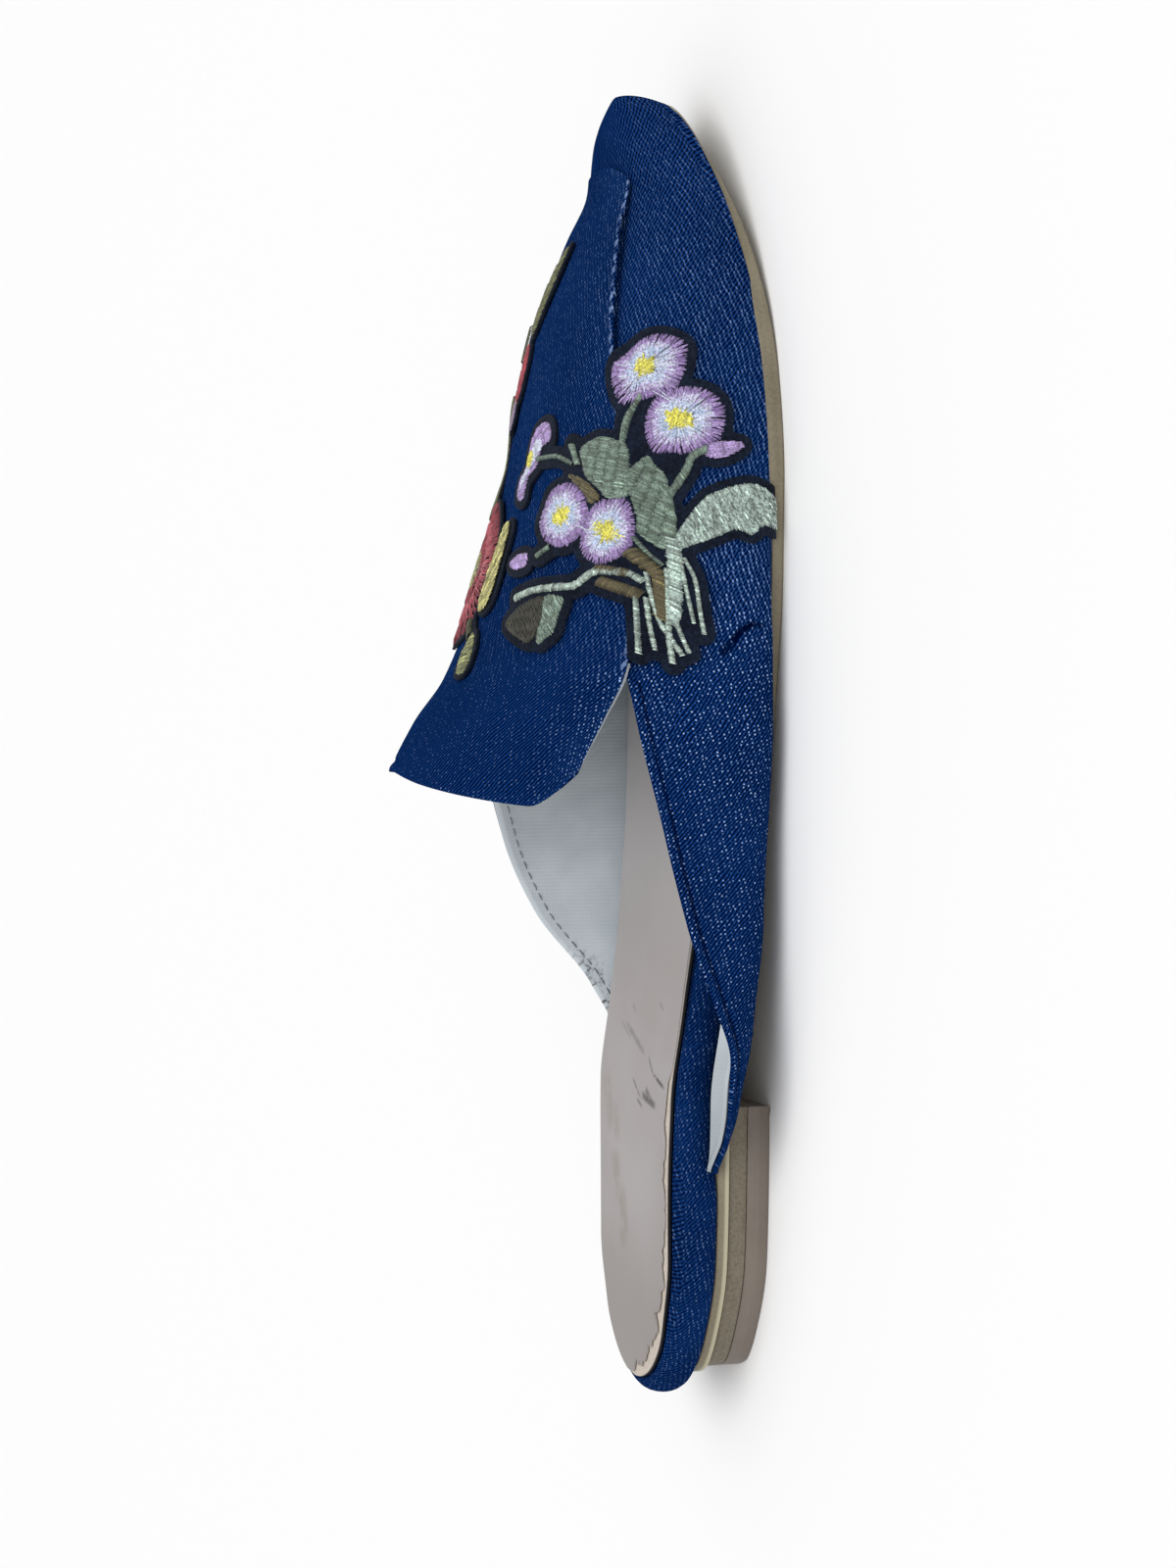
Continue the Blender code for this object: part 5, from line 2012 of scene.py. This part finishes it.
@dataclass
class Patch:
    """An embroidered patch: felt cut round the motif, and the stitches on it.

    Loose is stray threads, each from a station and girth to another. Fills is felt with no stitches on it.
    """

    ground: Ground
    name: str
    slot: str
    node: str
    margin: float = 1.4
    border: float = 3.0
    cell: float = 0.8
    felt: float = 0.6
    felt_seat: float = 0.12
    felt_bevel: float = 0.22
    seed: int = 7
    half: float = 0.17
    spacing: float = 0.32
    uneven: float = 1.5
    leaf_lift: float = 0.18
    stem_lift: float = 0.3
    bloom_lift: float = 0.1
    loose_lift: float = 0.9
    loose_half: float = 0.09
    leaves: tuple[Leaf, ...] = ()
    stems: tuple[Satin, ...] = ()
    blooms: tuple[Bloom, ...] = ()
    tiers: tuple[Tier, ...] = ()
    loose: tuple[tuple[float, float, float, float], ...] = ()
    fills: tuple[tuple[Pair, ...], ...] = ()

    def __post_init__(self) -> None:
        """Seeds the patch's own dice."""
        self.dice = np.random.default_rng(self.seed)

    def distance(self, at: Points) -> Points:
        """Distance from the felt's outline.

        Args:
            at: Stations and girths.

        Returns:
            The distances, negative inside.
        """
        best = np.full(len(at), 99.0)
        for points in (*self.fills, *(shape.points for shape in (*self.leaves, *self.blooms))):
            outline = rounded(points, True, 48)
            away = line_distance(at, outline, True)
            best = np.minimum(best, np.where(inside(at, outline), -away, away))
        for stem in self.stems:
            best = np.minimum(best, line_distance(at, rounded(stem.points, False, 24), False) - stem.half)
        return best - self.margin

    def trim(self, at: Points, rim: Points) -> None:
        """Draws the stepped rim of a cut grid onto the felt's outline.

        Args:
            at: Stations and girths of the grid's points, which are changed.
            rim: Which of them are on its rim.
        """
        for _ in range(4):
            away = self.distance(at[rim])
            steps = ((0.2, 0), (0, 0.2))
            slope = [self.distance(at[rim] + step) - self.distance(at[rim] - step) for step in steps]
            at[rim] -= unit(np.stack(slope, axis=1), 1e-6) * np.clip(away, -0.6, 0.6)[:, None]
        at[:, 1] = np.maximum(at[:, 1], 0.0)

    def build_felt(self) -> Object:
        """The felt: a grid cut along the motif's outline, laid on the shoe and thickened.

        Returns:
            The piece.
        """
        spots = np.concatenate([np.array(shape.points) for shape in (*self.leaves, *self.blooms, *self.stems)])
        low, high = spots.min(axis=0) - self.border, spots.max(axis=0) + self.border
        low[1] = max(low[1], -0.2)
        shape = np.ceil((high - low) / self.cell).astype(int) + 1
        axes = [low[k] + np.arange(shape[k]) * self.cell for k in range(2)]
        flat = np.stack(np.meshgrid(*axes, indexing="ij"), axis=-1)
        piece = lay_grid(f"{self.name}_felt", np.dstack([flat, np.zeros(flat.shape[:2])]))
        cut(piece, self.distance(((flat[:-1, :-1] + flat[1:, 1:]) / 2).reshape(-1, 2)) > 0)
        at = np.array([v.co[:2] for v in piece.data.vertices]) / MM
        uses = Counter(key for face in piece.data.polygons for key in face.edge_keys)
        self.trim(at, np.unique([i for key, count in uses.items() if count == 1 for i in key]))
        points, normals = self.ground.lay(at[:, 0], at[:, 1])
        laid = (points + normals * self.felt_seat) * MM
        piece.data.vertices.foreach_set("co", laid.astype(np.float32).ravel())
        if self.ground.side is Side.MEDIAL:
            with edit_mode(piece):
                bpy.ops.mesh.flip_normals()
        modify(piece, "SOLIDIFY", thickness=self.felt * MM, offset=1.0)
        ease(piece, self.felt_bevel, 2, 60)
        smooth(piece, 60)
        return piece

    def shades(self, tone: Colour, count: int, vary: float) -> Points:
        """A tone with its strength varied from stitch to stitch."""
        return np.array(tone) * np.exp(self.dice.normal(0, self.uneven * vary, (count, 1)))

    def sew_stem(self, sewn: Stitches, stem: Satin, lift: float) -> None:
        """Sews a stem across its line.

        Args:
            sewn: Where the stitches go.
            stem: The stem.
            lift: Height of their ends.
        """
        length = float(run_lengths(np.array(stem.points))[-1])
        line = rounded(stem.points, False, max(int(length / self.spacing), 4))
        way = unit(np.gradient(line, axis=0))
        across = np.stack([-way[:, 1], way[:, 0]], axis=1)
        reach = stem.half * (1 + self.dice.normal(0, 0.07, (len(line), 1)))
        side = (across + way * math.tan(math.radians(stem.slant))) * reach
        ends = np.concatenate([line - side, line + side], axis=1)
        arch = 0.25 + 0.25 * min(stem.half, 1.2)
        sewn.add(ends, lift, arch, self.half, self.shades(stem.tone, len(line), stem.vary))

    def sew_leaf(self, sewn: Stitches, leaf: Leaf, lift: float) -> None:
        """Fills a leaf with stitches broken at its lanes.

        Args:
            sewn: Where the stitches go.
            leaf: The leaf.
            lift: Height of their ends.
        """
        outline = rounded(leaf.points, True, 60)
        way, aside = heading(leaf.turn)
        u, v = outline @ way, outline @ aside
        next_u, next_v = np.roll(u, -1), np.roll(v, -1)
        for row in np.arange(v.min() + 0.2, v.max(), self.spacing):
            hit = (v > row) != (next_v > row)
            cuts = np.sort(u[hit] + (row - v[hit]) / (next_v[hit] - v[hit]) * (next_u[hit] - u[hit]))
            for start, end in zip(cuts[0::2], cuts[1::2]):
                shift = leaf.brick * self.dice.random() * leaf.lane
                first = math.floor((start - shift) / leaf.lane) + 1
                lanes = [shift + k * leaf.lane for k in range(first, math.ceil((end - shift) / leaf.lane))]
                stops = np.array([start, *(s for s in lanes if start + 0.8 < s < end - 0.8), end])
                stops = stops + self.dice.normal(0, 0.09, len(stops))
                a, b = stops[:-1, None] - 0.1, stops[1:, None] + 0.1
                ends = np.concatenate([a * way + row * aside, b * way + row * aside], axis=1)
                sewn.add(ends, lift + leaf.lift, 0.2, self.half, self.shades(leaf.tone, len(ends), leaf.vary))

    def sew_tier(self, sewn: Stitches, bloom: Bloom, tier: Tier, lift: float) -> None:
        """Sews one ring of radial stitches of a bloom.

        Args:
            sewn: Where the stitches go.
            bloom: The flower.
            tier: The ring.
            lift: Height of the flower's lowest stitches.
        """
        middle, count = np.array([bloom.x, bloom.girth]), tier.count
        outline = rounded(bloom.points, True, 180) - middle
        bearing, radius = np.arctan2(outline[:, 1], outline[:, 0]), np.linalg.norm(outline, axis=1)
        order = np.argsort(bearing)
        angle = np.linspace(-math.pi, math.pi, count, endpoint=False) + self.dice.normal(0, 0.02, count)
        reach = np.interp(angle, bearing[order], radius[order], period=2 * math.pi)
        tilt = angle + self.dice.normal(0, 0.05, count)
        start = reach * (tier.inner + self.dice.normal(0, tier.ragged, count))
        end = reach * (tier.outer + self.dice.normal(0, 0.3 * tier.ragged, count))
        ends = [middle + rays(tilt) * start[:, None], middle + rays(angle) * end[:, None]]
        share = self.dice.random((count, 1))
        colour = np.array(tier.tones[0]) * (1 - share) + np.array(tier.tones[1]) * share
        colour = colour * np.exp(self.dice.normal(0, tier.vary, (count, 1)))
        sewn.add(np.concatenate(ends, axis=1), lift + tier.lift, 0.38, self.half * 1.05, colour)

    def sew_bloom(self, sewn: Stitches, bloom: Bloom, lift: float) -> None:
        """Sews one flower, tier by tier."""
        for tier in self.tiers:
            self.sew_tier(sewn, bloom, tier, lift)

    def finish(self, sewn: Stitches) -> None:
        """Lays a set of stitches and dresses it."""
        settle(sewn.lay(self.ground), Thread(f"{sewn.name}_thread"), self.node, self.slot)

    def build(self) -> None:
        """Builds the felt, the leaves and stems, and the flowers."""
        settle(self.build_felt(), Felt(f"{self.name}_felt"), self.node)
        green = Stitches(f"{self.name}_leaves")
        for leaf in self.leaves:
            self.sew_leaf(green, leaf, self.felt + self.leaf_lift)
        for stem in self.stems:
            self.sew_stem(green, stem, self.felt + self.stem_lift)
        self.finish(green)
        flowers = Stitches(f"{self.name}_flowers")
        for bloom in self.blooms:
            self.sew_bloom(flowers, bloom, self.felt + self.bloom_lift)
        if self.loose:
            flowers.add(np.array(self.loose), self.felt + self.loose_lift, 0.25, self.loose_half, np.array(MILK))
        self.finish(flowers)


@dataclass
class Violets(Patch):
    """The bunch of violets on the outer side: purple round a white ring round a yellow eye."""

    eye_lift: float = 0.45
    eye_rays: int = 9
    leaves: tuple[Leaf, ...] = (
        Leaf(78, 2.4, SAGE, 0.2, path(
            197.3, 34.8, 195.3, 39.5, 191.9, 39, 189.4, 38.1, 186.6, 34.9, 184.9, 33.4, 185.1, 29.1, 190.6, 28.3,
            195.3, 28.8, 196.6, 31.2
        ), brick=0.3),
        Leaf(64, 2.6, SAGE, 0.2, path(
            193.3, 25, 191.9, 27, 189.6, 28.7, 185.6, 28.5, 180.9, 27.7, 177.9, 28, 175.9, 25.9, 174.4, 23, 177.7,
            20.5, 182.9, 20.3, 188.9, 21.5, 191.1, 23.3
        ), brick=0.3),
        Leaf(25, 1.7, WILLOW, 0.24, path(
            176.9, 20.6, 181.9, 16.6, 185.1, 13.2, 187.1, 7.1, 187.1, 3.6, 184.9, 0.4, 180.9, 0.4, 178.4, 0.5, 179.2,
            3, 177.2, 5.8, 178.2, 8.9, 175.9, 15.2, 174.4, 20.9
        ), brick=1.0),
        Leaf(5, 2.6, BARK, 0.28, path(
            165.2, 49.6, 163.5, 56.1, 160, 60.3, 157.5, 57.8, 155.8, 53.9, 158, 51.6, 161.7, 49.9
        ), brick=0.6),
        Leaf(30, 2.4, SAGE, 0.24, path(
            165.2, 49.3, 165.2, 45.6, 164.2, 44.9, 161.2, 46.4, 158.2, 47.6, 156.5, 49.7, 155.5, 51.4, 157.5, 51.6,
            160.7, 50.4
        ), brick=0.6),
        Leaf(60, 2.6, UMBER, 0.22, path(
            190.1, 42.9, 189.6, 40.2, 187.9, 37.3, 185.1, 35, 183.9, 37.2, 186.4, 39
        ), brick=0.6),
        Leaf(100, 3.0, LILAC, 0.12, path(
            195.3, 6, 195.8, 8, 195.3, 12.7, 192.8, 13.3, 192.6, 10.1, 194.1, 6.8
        )),
        Leaf(8, 3.2, LILAC, 0.14, path(
            174.2, 54.8, 174.4, 57.6, 173.4, 60.4, 172, 60.9, 171.4, 58.2, 172, 55.2
        )),
        Leaf(-60, 3.4, LILAC, 0.14, path(
            202.1, 50.6, 198.3, 49.3, 196.8, 52.6, 193.3, 54.1, 190.6, 57.8, 186.4, 59, 186.9, 61.8, 190.1, 62.1,
            193.8, 58.8, 197.3, 58.1, 201.1, 55.4
        )),
        Leaf(-60, 3.4, MILK, 0.06, path(
            199, 53.5, 197, 52.3, 194.5, 54.6, 191, 58.3, 188.5, 60.2, 190.5, 60.6, 194, 57.6, 197.5, 56
        ), lift=0.2),
        Leaf(30, 3.4, LEMON, 0.06, path(196.6, 55.9, 194.8, 55.4, 193, 57.2, 194.6, 58, 196.4, 57), lift=0.35),
    )
    stems: tuple[Satin, ...] = (
        Satin(1.5, 25, UMBER, 0.22, path(173.9, 29.9, 171.4, 27, 169, 25, 164.5, 25.3, 160.7, 25.7)),
        Satin(1.2, 25, UMBER, 0.22, path(168, 36.7, 166.7, 33, 165.2, 28.8)),
        Satin(0.9, 25, UMBER, 0.22, path(170.4, 37.1, 170.2, 34.4, 169.5, 30.8)),
        Satin(1.5, 20, WILLOW, 0.3, path(176.3, 21.4, 172.4, 21.4, 168.2, 21.9, 163.2, 22.6, 159.7, 23.8)),
        Satin(0.6, 20, SAGE, 0.22, path(205.8, 25.8, 201.8, 28.2, 195.8, 29.5)),
        Satin(0.5, 20, SAGE, 0.22, path(194.6, 53.9, 194.6, 49.9, 194.3, 46.2, 192.4, 41.7)),
        Satin(0.8, 20, SAGE, 0.22, path(196.3, 42.1, 192.1, 40.3)),
        Satin(0.8, 25, SAGE, 0.22, path(194.3, 13.3, 192.8, 16.1, 189.9, 17.5, 185.1, 21)),
        Satin(0.55, 20, SAGE, 0.22, path(173.7, 51.6, 175.4, 48)),
        Satin(0.75, 25, PALE, 0.22, path(
            168, 28, 169, 29.5, 169.7, 31.5, 169.9, 34.5, 169.9, 37.3, 168.7, 39.7, 167.2, 42.3, 167, 47, 166.5, 52.8,
            165.2, 57.6
        )),
        Satin(0.55, 15, PALE, 0.22, path(165.2, 29.8, 159.5, 30.3, 153.8, 30.9)),
        Satin(0.55, 15, PALE, 0.22, path(164.7, 28, 159.5, 28.1, 154.5, 27.7)),
        Satin(0.55, 15, PALE, 0.22, path(169.7, 27.3, 166, 27.1, 160, 26, 156.5, 24.2, 153.3, 22.5)),
        Satin(0.65, 15, PALE, 0.22, path(170.4, 23.2, 163.2, 24, 156.5, 24.6, 151.8, 24.6)),
        Satin(0.5, 15, PALE, 0.22, path(160.2, 22.9, 157, 22.1, 153.8, 21.1)),
        Satin(0.45, 15, PALE, 0.22, path(172.7, 20.4, 167, 20, 159.7, 19.4)),
        Satin(0.45, 15, PALE, 0.22, path(172.4, 19.5, 168.2, 18, 162.2, 17.9, 157.5, 17.7)),
        Satin(0.5, 15, SAGE, 0.22, path(176.7, 28.7, 173.7, 26.6, 171.2, 23.9)),
    )
    blooms: tuple[Bloom, ...] = (
        Bloom(211.5, 24.4, -55, 3.4, 1.7, path(
            211.3, 31, 204.1, 29.9, 204.6, 26.5, 207, 18.4, 213.8, 15.5, 216.5, 15.9, 218.2, 20.6, 216.5, 25.9
        )),
        Bloom(200.3, 18.2, -20, 3.0, 2.6, path(
            199.1, 25.3, 194.3, 23.9, 193.8, 19.9, 193.6, 16.3, 196.6, 10.5, 202.8, 9.5, 206.3, 12.5, 206.8, 18.4,
            204.3, 23.4
        )),
        Bloom(181.6, 44.2, 30, 2.6, 2.3, path(
            179.9, 51.4, 176.2, 48.6, 175.4, 43.7, 178.9, 38.6, 183.9, 38, 188.4, 41.6, 187.4, 47.8, 183.4, 50.3
        )),
        Bloom(177.9, 33.8, -30, 3.0, 2.6, path(
            176.2, 40.1, 172.7, 39.1, 171.4, 35.6, 173.9, 30.1, 178.9, 28, 184.1, 29.1, 184.6, 33.5, 182.4, 37.3
        )),
    )
    loose: tuple[tuple[float, float, float, float], ...] = (
        (206.3, 23.1, 203.3, 18.6),
        (207.2, 22.4, 204.2, 19.5),
        (179.9, 41.9, 177.2, 35.6),
        (180.6, 40.5, 176.2, 36.4),
    )
    fills: tuple[tuple[Pair, ...], ...] = (
        path(200, 27.5, 196, 21, 193.5, 14.5, 189.5, 18.5, 186, 21, 190, 23, 194, 27),
    )
    tiers: tuple[Tier, ...] = (
        Tier(0.6, 1.0, 0.06, 190, 0.0, (LILAC, PLUM), 0.14),
        Tier(0.3, 0.84, 0.13, 120, 0.2, (MILK, LILAC), 0.06),
        Tier(0.22, 0.68, 0.12, 90, 0.32, (MILK, ICE), 0.05),
    )

    def sew_bloom(self, sewn: Stitches, bloom: Bloom, lift: float) -> None:
        """Sews one flower and its eye."""
        super().sew_bloom(sewn, bloom, lift)
        self.sew_eye(sewn, bloom, lift + self.eye_lift)

    def sew_eye(self, sewn: Stitches, bloom: Bloom, lift: float) -> None:
        """Sews the yellow eye as a ragged patch of stitches along its axis, and rays out of it.

        Args:
            sewn: Where the stitches go.
            bloom: The flower.
            lift: Height of their ends.
        """
        way, aside = heading(bloom.eye)
        middle = np.array([bloom.x, bloom.girth])
        rows = np.arange(-1.15 * bloom.eye_wide, 1.15 * bloom.eye_wide + 0.01, 0.34)
        long = bloom.eye_long * np.sqrt(np.clip(1.4 - (rows / bloom.eye_wide) ** 2, 0.08, 1))
        reach = (long * self.dice.uniform(0.7, 1.1, len(rows)))[:, None]
        slide = self.dice.normal(0, 0.25, len(rows))[:, None]
        base = middle + rows[:, None] * aside
        ends = np.concatenate([base + (slide - reach) * way, base + (slide + reach) * way], axis=1)
        sewn.add(ends, lift, 0.3, self.half, self.shades(LEMON, len(ends), 0.12))
        angle = math.radians(bloom.eye) + np.linspace(0, 2 * math.pi, self.eye_rays, endpoint=False)
        out = rays(angle + self.dice.normal(0, 0.25, self.eye_rays))
        size = 0.5 * (bloom.eye_long + bloom.eye_wide) * self.dice.uniform(0.9, 1.45, self.eye_rays)
        spokes = np.concatenate([middle + out * 0.5, middle + out * size[:, None]], axis=1)
        sewn.add(spokes, lift + 0.05, 0.25, self.half, self.shades(LEMON, len(spokes), 0.12))


@dataclass
class RedFlower(Patch):
    """The long-stemmed red flower over the ridge: three tiers of red petals round a golden middle."""

    leaves: tuple[Leaf, ...] = (
        Leaf(60, 2.6, OLIVE, 0.24, path(
            241, 47.5, 236.5, 48.9, 231, 49.4, 224, 48.8, 225.5, 44.6, 231, 43.6, 236.5, 44.6
        )),
        Leaf(70, 2.4, MOSS, 0.3, path(158.5, 76.5, 156.5, 79.3, 153, 81.5, 149.8, 82.3, 150, 79, 154, 75.8)),
        Leaf(35, 3.0, SCARLET, 0.2, path(222, 46, 219, 50.8, 213, 52.6, 209.5, 51.8, 211, 46.6, 216, 45)),
        Leaf(12, 3.4, GOLD, 0.26, path(
            181.5, 72.5, 180.5, 75.2, 174, 77.2, 169, 78.6, 164.5, 79, 163, 76.5, 165.5, 74, 173, 72.6
        ), brick=0.6, lift=0.5),
        Leaf(75, 2.6, MAUVE, 0.16, path(210.5, 50, 207, 52, 203.5, 52.6, 204.5, 49.5, 209, 47.5)),
    )
    stems: tuple[Satin, ...] = (
        Satin(1.1, 25, OLIVE, 0.2, path(211, 47.5, 207.5, 43, 202, 39.5, 196, 40, 190, 45, 185, 51)),
        Satin(0.8, 25, FERN, 0.2, path(226, 41.5, 222, 43, 219, 44.5)),
        Satin(0.9, 25, FERN, 0.2, path(158, 75.5, 161, 72)),
    )
    blooms: tuple[Bloom, ...] = (
        Bloom(173, 60, 40, 4.4, 4.0, path(
            187.5, 53, 187, 59.5, 182, 66, 176, 70.6, 168, 72.2, 160, 71.6, 157, 64, 158, 57, 162.5, 50, 171, 48, 178,
            47, 185, 49
        )),
    )
    tiers: tuple[Tier, ...] = (
        Tier(0.72, 1.0, 0.05, 230, 0.0, (SCARLET, WINE), 0.12),
        Tier(0.46, 0.78, 0.06, 170, 0.2, (SCARLET, ROSE), 0.10),
        Tier(0.24, 0.52, 0.05, 110, 0.35, (WINE, SCARLET), 0.12),
        Tier(0.04, 0.30, 0.04, 60, 0.45, (GOLD, OLIVE), 0.12),
    )


@dataclass
class Seams:
    """The sewn lines: along the topline, outside and in the lining.

    Dip is the height of a stitch's stations over the cloth.
    """

    last: Last
    pitch: float = 2.6
    length: float = 2.0
    half: float = 0.15
    start: float = 22.0
    first: float = 0.4
    stop: float = 1.5
    dip: tuple[float, ...] = (-0.12, 0.14, 0.14, -0.12)
    outer_inset: float = 2.3
    outer_depth: float = 0.45
    lining_inset: float = 2.4
    lining_depth: float = 2.0
    indigo: Colour = srgb(10, 26, 66)
    grey: Colour = srgb(150, 157, 166)

    def sew(self, name: str, lines: Sequence[tuple[Points, Points]], tone: Colour) -> None:
        """Sews stitches along lines on the upper.

        Args:
            name: Name of the piece.
            lines: Points and outward normals of each line.
            tone: Colour of the thread.
        """
        sewn = []
        for points, normals in lines:
            run = run_lengths(points)
            starts = np.arange(self.first, run[-1] - self.length, self.pitch)
            at = starts[:, None] + self.length * np.linspace(0, 1, Stitches.stations)
            sewn.append([walked(grid, run, at) for grid in (points, normals)])
        centre, normal = (np.concatenate(grids) for grids in zip(*sewn))
        centre = centre + normal * np.array(self.dip)[:, None]
        piece = Stitches(name).weave(centre, normal, self.half, np.broadcast_to(tone, (len(centre), 3)))
        settle(piece, Thread(f"{name}_thread", 0.8, 0.05, 0.0), "upper")

    def quarter_line(self, side: Side, inset: float, depth: float) -> tuple[Points, Points]:
        """A line on a quarter at a distance from its topline.

        Args:
            side: Which quarter.
            inset: Distance below the topline.
            depth: Distance in from the outer face.

        Returns:
            Points and the normals that they show towards.
        """
        x = np.linspace(self.last.tail_x + self.start, self.last.notch_x - self.stop, 90)
        sweep = self.last.edge_angle(x, side)[:, None] * np.linspace(0, 1, 80)
        walk = self.last.point(x[:, None], sweep if side is Side.LATERAL else math.pi - sweep[:, ::-1])
        run = run_lengths(walk, 1)
        wanted = run[:, -1] - inset if side is Side.LATERAL else np.full(len(x), inset)
        points, normals = (
            np.array([walked(*row) for row in zip(grid, run, wanted)]) for grid in (walk, normals_of(walk))
        )
        return points - normals * depth, normals * (1 if depth <= 0.5 else -1)

    def build(self) -> None:
        """Sews every line."""
        outside = [self.quarter_line(side, self.outer_inset, self.outer_depth) for side in Side]
        self.sew("topline_stitches", outside, self.indigo)
        within = self.quarter_line(Side.MEDIAL, self.lining_inset, self.lining_depth)
        self.sew("lining_stitches", [within], self.grey)


# Studio


class Lamp(NamedTuple):
    """A soft distant light: where it comes from, the spread of its face in degrees and its power."""

    name: str
    direction: tuple[float, float, float]
    spread: float
    power: float


@dataclass
class Studio:
    """Pale floor, soft light and the camera at the photograph's angle, turned so that the toe points up.

    The light is a bright even surround, a large soft key overhead and a fill from the camera's side.
    """

    last: Last
    elevation: float = 16.3
    distance: float = 600.0
    roll: float = 0.4
    target: tuple[float, float, float] = (128.0, 0.0, 29.0)
    pixels_per_mm: float = 4.82
    frame_height: float = 1600.0
    sensor: float = 36.0
    floor_size: float = 12.0
    floor_tone: Colour = (0.96, 0.96, 0.96)
    surround: float = 0.62
    lamps: tuple[Lamp, ...] = (Lamp("key", (0.2, -0.45, 1.0), 60, 1.25), Lamp("fill", (-0.3, -1.0, 0.35), 90, 0.5))

    def build_camera(self) -> None:
        """Makes the camera and hands it to the scene."""
        e, roll = math.radians(self.elevation), math.radians(self.roll)
        back = Vector((0, -math.cos(e), math.sin(e)))
        toe_up = Vector((1, 0, 0))
        side = (-back).cross(toe_up)
        up = toe_up * math.cos(roll) + side * math.sin(roll)
        right = side * math.cos(roll) - toe_up * math.sin(roll)
        target = Vector(np.array(self.target) + self.last.shift)
        place = (target + back * self.distance) * MM
        data = bpy.data.cameras.new("camera")
        data.sensor_width = self.sensor
        data.lens = self.pixels_per_mm * self.distance / self.frame_height * self.sensor
        data.clip_start, data.clip_end = 0.01, 50
        camera = bpy.data.objects.new("camera", data)
        bpy.context.scene.collection.objects.link(camera)
        camera.matrix_world = Matrix([[right[i], up[i], back[i], place[i]] for i in range(3)] + [[0, 0, 0, 1]])
        bpy.context.scene.camera = camera

    def build_floor(self) -> None:
        """A plain pale floor."""
        bpy.ops.object.select_all(action="DESELECT")
        bpy.ops.mesh.primitive_plane_add(size=self.floor_size)
        floor = bpy.context.active_object
        floor.name = "floor"
        paper = NodeSheet("floor_paper").shade(base_color=self.floor_tone, roughness=0.95, specular_ior_level=0.1)
        floor.data.materials.append(paper)

    def build_lights(self) -> None:
        """Lights the studio."""
        world = bpy.data.worlds.new("studio")
        world.use_nodes = True
        background = world.node_tree.nodes["Background"].inputs
        background[0].default_value, background[1].default_value = (1, 1, 1, 1), self.surround
        bpy.context.scene.world = world
        for lamp in self.lamps:
            data = bpy.data.lights.new(lamp.name, "SUN")
            data.angle, data.energy = math.radians(lamp.spread), lamp.power
            light = bpy.data.objects.new(lamp.name, data)
            bpy.context.scene.collection.objects.link(light)
            light.rotation_mode = "QUATERNION"
            light.rotation_quaternion = (-Vector(lamp.direction)).to_track_quat("-Z", "Y")
        bpy.context.scene.view_settings.view_transform = "Standard"

    def build(self) -> None:
        """Builds the whole studio."""
        self.build_camera()
        self.build_floor()
        self.build_lights()


def main() -> None:
    """Builds the shoe piece by piece."""
    logging.basicConfig(level=logging.INFO, format="%(name)s: %(message)s")
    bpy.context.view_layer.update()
    last = Last(frame_shift())
    for sub_assembly in (Studio, Upper, Apron, Footbed, Sole, Seams):
        sub_assembly(last).build()
    outer, inner = (Ground(last, side) for side in Side)
    Violets(outer, "violets", "thread_violets", "patch_violets", margin=1.75, seed=11).build()
    RedFlower(inner, "red_flower", "thread_red_flower", "patch_red_flower", margin=1.0, seed=23).build()


if __name__ == "__main__":
    main()
